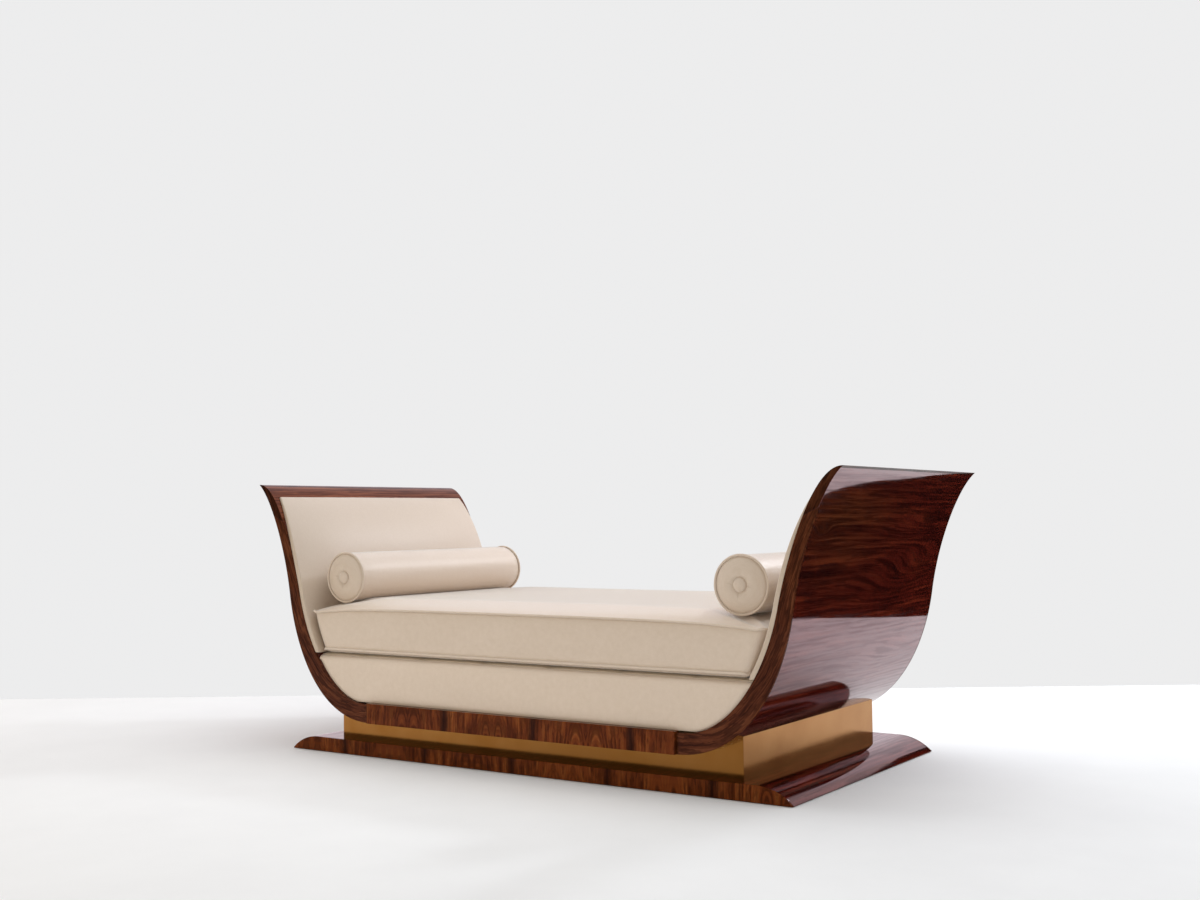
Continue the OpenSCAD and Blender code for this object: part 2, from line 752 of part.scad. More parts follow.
module bolster_buttons(side) {
    half = button_d / 2;
    dome_r = (half * half + button_h * button_h) / (2 * button_h);
    color(CREAM) place_bolster(side) for (end = [-1, 1]) mirror([0, 0, end < 0 ? 1 : 0])
        translate([0, 0, button_seat + button_h - dome_r]) rotate_extrude($fn = 48)
            intersection() {
                circle(r = dome_r, $fn = 180);
                translate([0, dome_r - button_h]) square([half, button_h]);
            }
}

floor_glides();
base_board();
base_nosing(-1);  // base_left_nosing
base_nosing(1);  // base_right_nosing
base_lipping(-1);  // base_front_lipping
base_lipping(1);  // base_back_lipping
plinth_bolts();
pedestal_long_board(-1);  // pedestal_front_board
pedestal_long_board(1);  // pedestal_back_board
pedestal_end_board(-1);  // pedestal_left_board
pedestal_end_board(1);  // pedestal_right_board
pedestal_cross_rails();
corner_blocks();
brass_long_sheet(-1);  // brass_front_sheet
brass_long_sheet(1);  // brass_back_sheet
brass_end_sheet(-1);  // brass_left_sheet
brass_end_sheet(1);  // brass_right_sheet
body_bolts();
bottom_board();
body_dowels();
rail(-1);  // front_rail
rail(1);  // back_rail
end_board(-1);  // left_end_board
end_board(1);  // right_end_board
crest(-1);  // left_crest
crest(1);  // right_crest
edge_band(-1, -1);  // left_front_edge_band
edge_band(-1, 1);  // left_back_edge_band
edge_band(1, -1);  // right_front_edge_band
edge_band(1, 1);  // right_back_edge_band
frame_long_rail(-1);  // frame_front_rail
frame_long_rail(1);  // frame_back_rail
frame_end_rail(-1);  // frame_left_rail
frame_end_rail(1);  // frame_right_rail
frame_stretchers();
cross_webbing();
long_webbing();
deck_pad();
apron(-1);  // front_apron
apron(1);  // back_apron
end_pad(-1);  // left_end_pad
end_pad(1);  // right_end_pad
seat_cushion();
bolster(-1);  // left_bolster
bolster(1);  // right_bolster
bolster_buttons(-1);  // left_bolster_buttons
bolster_buttons(1);  // right_bolster_buttons
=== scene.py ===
from math import asin, copysign, cos, exp, pi, radians, sin, sqrt

import bmesh
import bpy
import numpy as np
from mathutils import Matrix, Vector, noise


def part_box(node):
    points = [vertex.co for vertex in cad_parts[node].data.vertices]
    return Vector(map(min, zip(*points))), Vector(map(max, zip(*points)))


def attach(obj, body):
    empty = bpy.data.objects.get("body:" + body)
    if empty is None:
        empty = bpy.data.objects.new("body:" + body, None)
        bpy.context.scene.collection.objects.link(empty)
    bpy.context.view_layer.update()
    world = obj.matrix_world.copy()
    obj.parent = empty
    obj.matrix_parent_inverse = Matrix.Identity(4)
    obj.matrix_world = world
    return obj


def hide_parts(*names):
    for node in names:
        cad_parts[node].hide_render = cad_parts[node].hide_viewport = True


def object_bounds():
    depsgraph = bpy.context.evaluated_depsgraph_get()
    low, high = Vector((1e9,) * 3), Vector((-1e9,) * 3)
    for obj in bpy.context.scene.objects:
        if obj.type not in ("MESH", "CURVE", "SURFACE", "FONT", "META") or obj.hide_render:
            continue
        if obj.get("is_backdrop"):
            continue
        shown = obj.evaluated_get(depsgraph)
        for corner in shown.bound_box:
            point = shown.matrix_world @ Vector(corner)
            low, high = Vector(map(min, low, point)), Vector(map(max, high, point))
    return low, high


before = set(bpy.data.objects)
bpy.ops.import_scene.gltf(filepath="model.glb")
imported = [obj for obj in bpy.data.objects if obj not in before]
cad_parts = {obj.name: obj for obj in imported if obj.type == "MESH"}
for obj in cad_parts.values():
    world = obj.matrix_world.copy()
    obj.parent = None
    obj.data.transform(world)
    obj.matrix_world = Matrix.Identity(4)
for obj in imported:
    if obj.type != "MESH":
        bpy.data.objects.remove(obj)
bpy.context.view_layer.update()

# The sizes that part.scad gives its curves, in metres
ROOT_X, BODY_Z = 0.554, 0.104
ROOT_T, WAIST_T, TIP_T = 0.057, 0.0433, 0.003
WAIST, TIP = (0.900, 0.493), (1.0435, 0.850)
WAIST_LEAN, INNER_LEAN, TIP_LEAN = 8.6, 11.8, 51.0
OUTER_REACH = (0.218, 0.176, 0.152, 0.069)
INNER_RUN, INNER_REACH = 0.021, (0.127, 0.192, 0.080, 0.091)
SCARF_OUTER, SCARF_INNER = 1.6, 1.55
SIDE_Y, BAND_T = 0.479, 0.006
GAP = 0.0003
ENDS, FACES = ((-1, "left"), (1, "right")), ((-1, "front"), (1, "back"))


# Curves of the boat's ends, with t from 0 at the root through 1 at the waist to 2 at the tip

def leaning(degrees):
    return np.array([sin(radians(degrees)), cos(radians(degrees))])


def bezier(points, t):
    a, b, c, d = (np.asarray(p, float) for p in points)
    return (1 - t) ** 3 * a + 3 * (1 - t) ** 2 * t * b + 3 * (1 - t) * t * t * c + t ** 3 * d


def s_curve(root, waist, tip, reach, waist_lean, tip_way, t):
    root, waist, tip = (np.asarray(p, float) for p in (root, waist, tip))
    if t <= 1:
        return bezier((root, root + [reach[0], 0],
                       waist - reach[1] * leaning(waist_lean), waist), t)
    return bezier((waist, waist + reach[2] * leaning(waist_lean),
                   tip - reach[3] * np.asarray(tip_way), tip), t - 1)


def outer_at(t):
    return s_curve((ROOT_X, BODY_Z), WAIST, TIP, OUTER_REACH, WAIST_LEAN, leaning(TIP_LEAN), t)


def inner_at(t):
    waist = np.array(WAIST) + WAIST_T * np.array([-cos(radians(WAIST_LEAN)),
                                                  sin(radians(WAIST_LEAN))])
    return s_curve((ROOT_X + INNER_RUN, BODY_Z + ROOT_T), waist, (TIP[0] - TIP_T, TIP[1]),
                   INNER_REACH, INNER_LEAN, (1, 0), t)


STEPS = 400
INNER_LINE = np.array([(ROOT_X, BODY_Z + ROOT_T)] +
                      [inner_at(2 * i / STEPS) for i in range(STEPS + 1)])


def offset_line(points, gap):
    """The line moved by gap towards the seat."""
    way = np.gradient(points, axis=0)
    way /= np.linalg.norm(way, axis=1)[:, None]
    return points + gap * np.stack([-way[:, 1], way[:, 0]], 1)


def x_at(line, z):
    """X of a rising line of points at a height."""
    return float(np.interp(z, line[:, 1], line[:, 0]))


def wave_at(*place):
    """Smooth noise at a place."""
    return noise.noise(Vector(place))


def bell(distance, width):
    """1 at no distance, falling to 0 over the width on both sides."""
    return exp(-(distance / width) ** 2)


# Mesh helpers

def mesh_object(name, points, faces, smooth=True):
    mesh = bpy.data.meshes.new(name)
    mesh.from_pydata([tuple(float(c) for c in p) for p in points], [], faces)
    mesh.validate()
    mesh.update()
    piece = bpy.data.objects.new(name, mesh)
    bpy.context.scene.collection.objects.link(piece)
    if smooth:
        mesh.shade_smooth()
    return piece


def fix_normals(piece, sharp=50):
    """Joins doubled points, turns the faces outwards and keeps the hard edges hard."""
    made = bmesh.new()
    made.from_mesh(piece.data)
    bmesh.ops.remove_doubles(made, verts=made.verts, dist=1e-6)
    bmesh.ops.recalc_face_normals(made, faces=made.faces)
    made.to_mesh(piece.data)
    made.free()
    piece.data.set_sharp_from_angle(angle=radians(sharp))
    return piece


def grid_faces(rows, columns, first=0, closed=False, flip=False):
    """Quads of a grid of points, which joins its last column to its first where closed."""
    faces = []
    for i in range(rows - 1):
        for j in range(columns if closed else columns - 1):
            a, b = first + i * columns + j, first + i * columns + (j + 1) % columns
            quad = (a, b, b + columns, a + columns)
            faces.append(quad[::-1] if flip else quad)
    return faces


def wall_faces(rows, columns, count, ends):
    """Quads that join two sheets of points along both sides, and along the rows in ends."""
    starts = [(i * columns + j, columns) for i in range(rows - 1) for j in (0, columns - 1)]
    starts += [(i * columns + j, 1) for i in ends for j in range(columns - 1)]
    return [(a, a + step, count + a + step, count + a) for a, step in starts]


def bevelled(piece, width, segments=3, angle=40):
    """Rounds the piece's arrises."""
    rounding = piece.modifiers.new("arris", "BEVEL")
    rounding.width, rounding.segments = width, segments
    rounding.limit_method, rounding.angle_limit = "ANGLE", radians(angle)
    rounding.harden_normals = True
    return piece


def eased(piece, width, chosen):
    """Rounds only the sharp arrises whose two end points are both chosen."""
    mesh = piece.data
    weight = mesh.attributes.new("bevel_weight_edge", "FLOAT", "EDGE")
    sharp = mesh.attributes.get("sharp_edge")
    for edge in mesh.edges:
        ends = [mesh.vertices[v].co for v in edge.vertices]
        if sharp.data[edge.index].value and all(chosen(end) for end in ends):
            weight.data[edge.index].value = 1.0
    bevelled(piece, width).modifiers["arris"].limit_method = "WEIGHT"


def ready(piece, body, slot, material, *nodes):
    """Gives a finished piece its material and its body, and hides the nodes that it stands for.
    slot is not used.
    """
    for one in material if isinstance(material, (list, tuple)) else [material]:
        piece.data.materials.append(one)
    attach(piece, body)
    if nodes:
        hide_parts(*nodes)
    return piece


CORD_SIDES, RIPPLES = 10, 90


def tube(name, path, radius, ripple):
    """A cord round a closed path of points, with a fine ripple where its cloth is gathered."""
    path = np.asarray(path, float)
    count, sides = len(path), CORD_SIDES
    way = np.roll(path, -1, 0) - np.roll(path, 1, 0)
    way /= np.linalg.norm(way, axis=1)[:, None]
    up = np.array([0.0, 0.0, 1.0]) if abs(way[0][2]) < 0.9 else np.array([1.0, 0.0, 0.0])
    points = []
    for i in range(count):
        up = up - way[i] * (up @ way[i])
        up /= np.linalg.norm(up)
        side = np.cross(way[i], up)
        size = radius * (1 + ripple * wave_at(*(path[i] * RIPPLES)))
        for k in range(sides):
            a = 2 * pi * k / sides
            points.append(path[i] + size * (cos(a) * up + sin(a) * side))
    faces = []
    for i in range(count):
        after = (i + 1) % count * sides
        for k in range(sides):
            turned = (k + 1) % sides
            faces.append((i * sides + k, i * sides + turned, after + turned, after + k))
    return fix_normals(mesh_object(name, points, faces))


# Shader helpers

class Shader:
    """A material whose node tree is written one call per node."""

    def __init__(self, name):
        self.material = bpy.data.materials.new(name)
        self.material.use_nodes = True
        self.tree = self.material.node_tree
        self.tree.nodes.clear()
        self.output = self.tree.nodes.new("ShaderNodeOutputMaterial")
        self.surface = self.tree.nodes.new("ShaderNodeBsdfPrincipled")
        self.tree.links.new(self.surface.outputs[0], self.output.inputs[0])

    def put(self, socket, value):
        if isinstance(value, bpy.types.NodeSocket):
            self.tree.links.new(value, socket)
        elif isinstance(value, (tuple, list)) and len(value) == 3 and socket.type == "RGBA":
            socket.default_value = (*value, 1)
        else:
            socket.default_value = value

    def set(self, **values):
        for name, value in values.items():
            self.put(self.surface.inputs[name.replace("_", " ")], value)

    def node(self, kind, inputs=(), out=0, **settings):
        made = self.tree.nodes.new(kind)
        for name, value in settings.items():
            setattr(made, name, value)
        for key, value in dict(inputs).items():
            self.put(made.inputs[key], value)
        return made.outputs[out]

    def math(self, operation, a, b=0.0, c=0.0):
        return self.node("ShaderNodeMath", {0: a, 1: b, 2: c}, operation=operation)

    def times(self, a, b):
        return self.math("MULTIPLY", a, b)

    def plus(self, a, b):
        return self.math("ADD", a, b)

    def less(self, a, b):
        return self.math("SUBTRACT", a, b)

    def scaled(self, place, factors):
        """A place whose axes are stretched one by one."""
        return self.join(*(self.times(part, by) for part, by in zip(place, factors)))

    def coords(self, uv=None):
        """X, Y and Z of the piece's own place, or of its named map."""
        if uv:
            found = self.node("ShaderNodeUVMap", uv_map=uv)
        else:
            found = self.node("ShaderNodeTexCoord", out=3)
        apart = self.tree.nodes.new("ShaderNodeSeparateXYZ")
        self.put(apart.inputs[0], found)
        return apart.outputs

    def join(self, x, y, z=0.0):
        return self.node("ShaderNodeCombineXYZ", {0: x, 1: y, 2: z})

    def noise(self, place, scale=1.0, detail=2.0, roughness=0.5):
        return self.node("ShaderNodeTexNoise", {
            "Vector": place, "Scale": scale, "Detail": detail, "Roughness": roughness})

    def chance(self, value):
        """A random share for each value."""
        return self.node("ShaderNodeTexWhiteNoise", {"W": value}, noise_dimensions="1D")

    def ramp(self, value, *stops):
        made = self.tree.nodes.new("ShaderNodeValToRGB")
        band = made.color_ramp
        while len(band.elements) < len(stops):
            band.elements.new(0.5)
        for element, (at, colour) in zip(band.elements, stops):
            element.position = at
            element.color = (*colour, 1) if isinstance(colour, (tuple, list)) else (
                colour, colour, colour, 1)
        self.put(made.inputs[0], value)
        return made.outputs[0]

    def mix(self, share, a, b):
        made = self.tree.nodes.new("ShaderNodeMix")
        made.data_type = "RGBA"
        self.put(made.inputs[0], share)
        self.put(made.inputs[6], a)
        self.put(made.inputs[7], b)
        return made.outputs[2]

    def span(self, value, low, high, to_low=0.0, to_high=1.0):
        return self.node("ShaderNodeMapRange", {
            "Value": value, "From Min": low, "From Max": high, "To Min": to_low,
            "To Max": to_high})

    def bump(self, height, distance, strength):
        return self.node("ShaderNodeBump", {
            "Height": height, "Distance": distance, "Strength": strength})


def rosewood(name, tones, along, across, uv=None, leaf=0.0, foot=0.0, span=1.0, swirl=1.0,
             gloss=1.5, lean=0.0, rings=70.0, ink=1.0, shift=0.0,
             figure=(), brown=None, smoke=None):
    """Polished rosewood. tones runs from the darkest line to the lightest ground. leaf is the
    width of the veneer's leaves across the grain, or 0 for one board, and foot the height at
    which their arches stand; span is the length over which the figure changes, swirl how
    strongly it bends, lean how far the grain leans over, ink how dark its lines are. figure
    places arches and eyes as (u, v, length, width, height, slope), and brown and smoke a warmer
    and a darker zone as (u, v, length, width)."""
    s = Shader(name)
    x, y, z = s.coords(uv)
    pick = {"X": x, "Y": y, "Z": z}
    u, v = pick[along], pick[across]

    times, plus, less = s.times, s.plus, s.less

    def hill(value, middle, width):
        """1 at the middle, falling to 0 over the width on both sides."""
        far = times(less(value, middle), 1.0 / width)
        return s.math("EXPONENT", times(times(far, far), -1.0))

    raw_u, raw_v = u, v
    if lean:
        v = plus(v, times(u, lean))
    seed = 0.0 if uv else times(plus(x, plus(y, z)), 0.3)
    if leaf:
        place = times(less(v, shift), 1.0 / leaf)
        index = s.math("FLOOR", place)
        seed = times(index, 0.35)
        local = times(less(s.math("FRACT", place), 0.5), leaf)
        rise = times(less(u, foot), 0.24)
        arches = []
        for centre in (-0.020, 0.036):
            stray = times(s.chance(plus(index, centre)), 0.02)
            off = less(local, plus(centre, stray))
            arches.append(s.math("SQRT", plus(times(off, off), times(rise, rise))))
        v = plus(s.math("SMOOTH_MIN", arches[0], arches[1], 0.012), times(index, 0.37))
        edge = s.math("ABSOLUTE", local)
    u = times(u, 1.0 / span)

    def swayed(value, by, amount):
        """The value, moved to both sides by a field that runs about one half."""
        return plus(value, times(less(by, 0.5), amount))

    def field(across_u, across_v, detail=2.0, roughness=0.5, way=None):
        return s.noise(s.join(times(u, across_u), times(way or v, across_v), seed), 1.0, detail,
                       roughness)

    # Slow fields bend the year rings, arches and eyes stand where the figure puts them, and
    # finer fields make the rings uneven
    bent = swayed(v, field(0.9, 3.2, 1.5), 0.12 * swirl)
    bent = swayed(bent, field(2.4, 9.0, 1.0), 0.050 * swirl)
    for at_u, at_v, length, width, height, slope in figure:
        line = less(v, times(less(raw_u, at_u), slope)) if slope else v
        if length > 0:
            along_it = s.node("ShaderNodeMapRange", {
                "Value": raw_u, "From Min": at_u, "From Max": at_u + length, "To Min": 0.0,
                "To Max": height}, interpolation_type="SMOOTHSTEP")
        else:
            along_it = times(hill(raw_u, at_u, -length), height)
        bent = plus(bent, times(hill(line, at_v, width), along_it))
    bent = swayed(bent, field(7.0, 60.0, 3.0, 0.6), 0.006)
    uneven = swayed(bent, s.noise(s.join(times(bent, 30.0), seed, 0.0), 1.0, 2.0), 0.030)
    turn = times(uneven, rings)
    dark = s.chance(s.math("FLOOR", turn))
    ring = s.ramp(s.math("FRACT", turn), (0.0, 0.6), (0.14, 0.0), (0.44, 0.0), (0.78, 1.0),
                  (1.0, 0.6))
    ring = times(times(ring, s.span(dark, 0.0, 0.8, 0.40, 1.0)),
                 s.span(field(3.0, 14.0, 3.0, 0.6), 0.38, 0.56, 0.30, 1.0))
    fine = s.span(field(4.5, 85.0, 3.5, 0.62, bent), 0.49, 0.55)
    streak = field(2.4, 50.0, 5.0, 0.70, bent)
    band = s.span(field(0.5, 11.0, 3.0, 0.55, bent), 0.46, 0.64)
    pores = s.span(field(45.0 * span, 1500.0, 2.0, 0.6), 0.60, 0.70)
    colour = s.ramp(streak, (0.33, tones[1]), (0.50, tones[2]), (0.64, tones[3]))
    if brown:
        zone = times(hill(raw_u, brown[0], brown[2]), hill(raw_v, brown[1], brown[3]))
        colour = s.mix(times(zone, 0.75), colour, s.ramp(
            streak, (0.36, (0.045, 0.011, 0.004)), (0.64, (0.175, 0.050, 0.014))))
    colour = s.mix(times(band, 0.60), colour, tones[1])
    colour = s.mix(times(fine, 0.80 * ink), colour, tones[0])
    if smoke:
        zone = times(hill(raw_u, smoke[0], smoke[2]), hill(v, smoke[1], smoke[3]))
        colour = s.mix(times(zone, 0.85), colour, tones[0])
    colour = s.mix(times(ring, ink), colour, tones[0])
    colour = s.mix(times(pores, 0.45), colour, tones[0])
    if leaf:
        ragged = swayed(edge, streak, 0.050)
        colour = s.mix(s.span(ragged, 0.5 * leaf - 0.020, 0.5 * leaf - 0.001, 0.0, 0.9), colour,
                       tones[0])
    rubbed = s.noise(s.join(x, y, z), 4.0, 3.0)
    inky = plus(times(ring, 0.6), times(fine, 0.4))
    relief = plus(rubbed, plus(times(pores, -0.03), times(inky, -0.02)))
    s.set(Base_Color=colour, Roughness=s.span(inky, 0.0, 0.9, 0.03, 0.12), IOR=gloss,
          Specular_IOR_Level=0.5, Specular_Tint=POLISH, Normal=s.bump(relief, 0.0006, 0.10),
          Coat_Weight=s.span(inky, 0.0, 0.8, 0.32, 0.0), Coat_IOR=gloss, Coat_Roughness=0.03)
    return s.material


def cloth(name, colour, deep, sheen=1.0, thread=0.0011):
    """A close plain weave with slubs, a soft pale sheen and a faint change of tone."""
    s = Shader(name)
    x, y, z = s.coords()
    # A sine along each axis, so that two sets of threads cross on every face
    warp, weft, rise = [s.math("SINE", s.times(axis, 2 * pi / thread)) for axis in (x, y, z)]
    weave = s.plus(s.times(warp, weft), s.times(rise, s.plus(warp, weft)))
    close, long = 900.0, 60.0
    slubs = s.plus(s.noise(s.scaled((x, y, z), (close, long, close)), 1.0, 2.0, 0.6),
                   s.noise(s.scaled((x, y, z), (long, close, long)), 1.0, 2.0, 0.6))
    mottle = s.noise(s.join(x, y, z), 9.0, 4.0, 0.6)
    cloud = s.noise(s.join(x, y, z), 2.3, 2.0, 0.5)
    tone = s.plus(s.times(s.less(slubs, 1.0), 0.9), s.times(s.less(mottle, 0.5), 0.25))
    ground = s.mix(s.span(tone, -0.45, 0.45), deep, colour)
    ground = s.mix(s.times(s.span(cloud, 0.35, 0.75), 0.125), ground, deep)
    s.set(Base_Color=ground, Roughness=s.span(slubs, 0.7, 1.3, 0.56, 0.44), IOR=1.65,
          Specular_IOR_Level=0.5, Sheen_Weight=sheen, Sheen_Roughness=0.30,
          Sheen_Tint=(0.92, 0.96, 1.0), Coat_Weight=0.55 * sheen, Coat_Roughness=0.42,
          Normal=s.bump(s.plus(s.times(weave, 0.35), slubs), 0.00022, 0.6))
    return s.material


def toned(tones, share):
    """The tones, each made lighter or darker by a share."""
    return [tuple(share * part for part in tone) for tone in tones]


def satin_brass(name, bright=1.0, dark_reflection_span=None):
    """Brushed brass under old lacquer. A painted dark reflection can darken it, growing from one x
    of the given span to the other.
    """
    s = Shader(name)
    x, y, z = s.coords()
    brushed = s.noise(s.scaled((s.plus(x, y), z), (6.0, 1400.0)), 1.0, 3.0, 0.6)
    stain = s.noise(s.join(x, y, z), 5.0, 4.0, 0.62)
    patch = s.noise(s.scaled((x, y, z), (2.0, 2.0, 14.0)), 1.0, 3.0, 0.5)
    tones = toned(((0.34, 0.140, 0.030), (0.41, 0.185, 0.049), (0.465, 0.228, 0.070),
                   (0.26, 0.102, 0.021)), bright)
    colour = s.ramp(stain, (0.30, tones[0]), (0.52, tones[1]), (0.76, tones[2]))
    colour = s.mix(s.span(patch, 0.5, 0.8, 0.0, 0.3), colour, tones[3])
    # Painted dark reflection, stronger towards the span's second x
    if dark_reflection_span:
        share = s.span(x, dark_reflection_span[0], dark_reflection_span[1], 0.0, 0.62)
        colour = s.mix(share, colour, (0.150, 0.058, 0.010))
    rough = s.plus(s.span(stain, 0.3, 0.7, 0.13, 0.20), s.times(s.less(brushed, 0.5), 0.08))
    s.set(Base_Color=colour, Metallic=1.0, Roughness=rough, Anisotropic=0.3,
          Normal=s.bump(brushed, 0.00006, 0.35))
    return s.material


def plain_wood(name):
    """The carcass's beech, planed and left bare."""
    s = Shader(name)
    place = tuple(s.coords())
    fibre = s.noise(s.scaled(place, (12.0, 12.0, 240.0)), 1.0, 4.0, 0.6)
    fleck = s.noise(s.scaled(place, (60.0, 60.0, 900.0)), 1.0, 2.0, 0.5)
    colour = s.ramp(fibre, (0.3, (0.34, 0.20, 0.095)), (0.5, (0.45, 0.29, 0.15)),
                    (0.7, (0.54, 0.37, 0.21)))
    colour = s.mix(s.span(fleck, 0.6, 0.7, 0.0, 0.5), colour, (0.26, 0.14, 0.065))
    s.set(Base_Color=colour, Roughness=s.span(fibre, 0.3, 0.7, 0.5, 0.68),
          Normal=s.bump(fibre, 0.0003, 0.4))
    return s.material


def speckled(name, scale, rough, tones, spread, relief, **more):
    """A fine speckle between two tones."""
    s = Shader(name)
    speck = s.noise(s.join(*s.coords()), scale, 3.0, rough)
    s.set(Base_Color=s.ramp(speck, (0.3, tones[0]), (0.7, tones[1])),
          Roughness=s.span(speck, *spread), Normal=s.bump(speck, *relief), **more)
    return s.material


def jute(name):
    """Upholsterer's webbing: a coarse twill."""
    s = Shader(name)
    x, y, z = s.coords()
    step = 2 * pi / 0.0028
    weave = s.times(s.math("SINE", s.times(s.plus(x, y), step)),
                    s.math("SINE", s.times(s.less(x, y), step)))
    hairs = s.noise(s.join(x, y, z), 700.0, 3.0, 0.7)
    colour = s.ramp(hairs, (0.3, (0.20, 0.13, 0.065)), (0.7, (0.40, 0.30, 0.17)))
    colour = s.mix(s.span(weave, -1.0, 1.0, 0.0, 0.35), colour, (0.13, 0.085, 0.045))
    s.set(Base_Color=colour, Roughness=s.span(hairs, 0.3, 0.7, 0.8, 0.95),
          Normal=s.bump(s.plus(weave, hairs), 0.0005, 0.7))
    return s.material


POLISH = (1.0, 0.40, 0.49)
DARK = [(0.014, 0.0016, 0.0011), (0.068, 0.0068, 0.0040), (0.112, 0.0115, 0.0060),
        (0.190, 0.0265, 0.0105)]
BROWN = [(0.016, 0.0048, 0.0028), (0.064, 0.0175, 0.0078), (0.114, 0.0330, 0.0135),
         (0.170, 0.0560, 0.0240)]
WARM = [(0.014, 0.0032, 0.0010), (0.095, 0.0200, 0.0044), (0.185, 0.0440, 0.0090),
        (0.262, 0.0780, 0.0180)]
# Two arches that open towards the back, a knot, a warmer zone and a dark streak in front
END_FIGURE = [(-0.16, 0.700, 0.50, 0.036, 0.036, 0.05), (-0.26, 0.505, 0.60, 0.050, 0.048, 0.16),
              (-0.40, 0.712, -0.045, 0.020, 0.030, 0.0), (0.30, 0.350, -0.30, 0.045, 0.030, 0.1)]
END_WOOD = rosewood("end_rosewood", DARK, "X", "Y", uv="grain", swirl=0.22, gloss=2.0, ink=0.75,
                    figure=END_FIGURE, brown=(-0.32, 0.74, 0.34, 0.15),
                    smoke=(-0.42, 0.600, 0.30, 0.011))
NARROW = dict(uv="grain", span=0.3, swirl=0.30, gloss=1.16, rings=150.0, ink=0.7)
EDGE_WOOD = rosewood("edge_rosewood", BROWN, "X", "Y", lean=0.12, **NARROW)
CREST_WOOD = rosewood("crest_rosewood", toned(BROWN, 0.6), "X", "Y", lean=-0.10, **NARROW)
# The crest's inner face: a lighter, browner copy of the same rosewood, as a painted reflection
LIT_CREST_FACE_WOOD = rosewood("crest_face_rosewood_painted_reflection", toned(BROWN, 1.45), "X", "Y", uv="grain", swirl=0.2,
                      gloss=1.24, rings=90.0, ink=0.55)
LEAVES = dict(leaf=0.328, span=0.30, swirl=0.06, rings=105.0, ink=0.55)
RAIL_WOOD = rosewood("rail_rosewood", WARM, "Z", "X", foot=0.070, shift=0.088, gloss=1.18,
                     **LEAVES)
BAND_WOOD = rosewood("crossband_rosewood", toned(WARM, 0.86), "Z", "X", foot=-0.020, gloss=1.14,
                     **LEAVES)
TOP_WOOD = rosewood("base_rosewood", DARK, "Y", "X", swirl=0.4, gloss=1.56)
CREAM = ((0.785, 0.655, 0.54), (0.695, 0.565, 0.445))
CUSHION_CLOTH = cloth("cushion_cloth", *CREAM)
# A darker copy of the cream cloth for the pads: painted shade
SHADED_PAD_CLOTH = cloth("pad_cloth_painted_shade", (0.665, 0.545, 0.430), (0.585, 0.465, 0.350))
# A lighter copy of the cream cloth for the apron: painted light
LIT_APRON_CLOTH = cloth("apron_cloth_painted_light", *toned(CREAM, 1.06))
# A darker copy of the cream cloth for the bolsters: painted shade
SHADED_BOLSTER_CLOTH = cloth("bolster_cloth_painted_shade", *toned(CREAM, 0.95))
DECK_CLOTH = cloth("deck_cloth", (0.62, 0.52, 0.40), (0.52, 0.42, 0.31), sheen=0.3, thread=0.0016)
BRASS = satin_brass("satin_brass")
# The front sheet's brass: a lighter copy as painted light, with a painted dark reflection growing
# towards the right
FRONT_BRASS_PAINTED_REFLECTION = satin_brass("front_brass_painted_reflection", 1.08, (-0.85, 0.20))
BEECH = plain_wood("beech")
STEEL = speckled("zinc_steel", 300.0, 0.6, ((0.30, 0.29, 0.27), (0.55, 0.55, 0.54)),
                 (0.3, 0.7, 0.28, 0.5), (0.00008, 0.4), Metallic=1.0)
FELT = speckled("felt_pad", 1500.0, 0.7, ((0.035, 0.03, 0.028), (0.085, 0.075, 0.07)),
                (0.2, 0.8, 0.85, 1.0), (0.0006, 0.7), Sheen_Weight=0.4, Sheen_Roughness=0.6)
JUTE = jute("jute_webbing")


# Body: the two swept ends, each a board, a solid crest and two edge bands

def swept_rows(pairs, first=None):
    """Outer and inner points of each cross-section, and the length run along their middle."""
    rows = [[outer_at(t_outer), inner_at(t_inner)] for t_outer, t_inner in pairs]
    if first is not None:
        rows[0][1] = np.asarray(first)
    rows = np.array(rows)
    steps = np.linalg.norm(np.diff(rows.mean(1), axis=0), axis=1)
    return rows, np.concatenate([[0], np.cumsum(steps)])


def swept(name, side, pairs, low_y, high_y, columns=2, first=None, start=0.0):
    """A board swept along pairs of outer and inner t, between two depths. Its map has the grain's
    direction as U and the way across it as V: faces run along Y, edges along the curve."""
    rows, run = swept_rows(pairs, first)
    run = run + start
    depths = np.linspace(low_y, high_y, columns)
    count = len(rows)
    points = []
    for kind in (0, 1):
        for i in range(count):
            for y in depths:
                points.append((side * rows[i][kind][0], y, rows[i][kind][1]))
    faces, tags = [], []
    flip = side < 0
    for kind in (0, 1):
        these = grid_faces(count, columns, kind * count * columns, flip=(kind == 1) != flip)
        faces += these
        tags += [0] * len(these)
    size = count * columns
    for column, turned in ((0, False), (columns - 1, True)):
        for i in range(count - 1):
            a = i * columns + column
            quad = (a, a + columns, size + a + columns, size + a)
            faces.append(quad[::-1] if turned != flip else quad)
            tags.append(1)
    for row in (0, count - 1):
        for j in range(columns - 1):
            a = row * columns + j
            quad = (a, a + 1, size + a + 1, size + a)
            faces.append(quad)
            tags.append(2)
    piece = mesh_object(name, points, faces)
    mesh = piece.data
    for polygon, tag in zip(mesh.polygons, tags):
        polygon.material_index = 1 if tag == 1 else 0
    grain = mesh.uv_layers.new(name="grain")
    for polygon in mesh.polygons:
        tag = tags[polygon.index]
        for corner in polygon.loop_indices:
            index = mesh.loops[corner].vertex_index
            y = points[index][1]
            i = (index % size) // columns
            deep = index // size
            if tag == 1:
                thick = np.linalg.norm(rows[i][0] - rows[i][1]) * deep
                grain.data[corner].uv = (run[i] + 3.0 * (side > 0), thick + (2.0 if y > 0 else 0))
            else:
                grain.data[corner].uv = (y, run[i] + (5.0 if deep else 0))
    return fix_normals(piece, 30)


def shares(count):
    return [i / (count - 1) for i in range(count)]


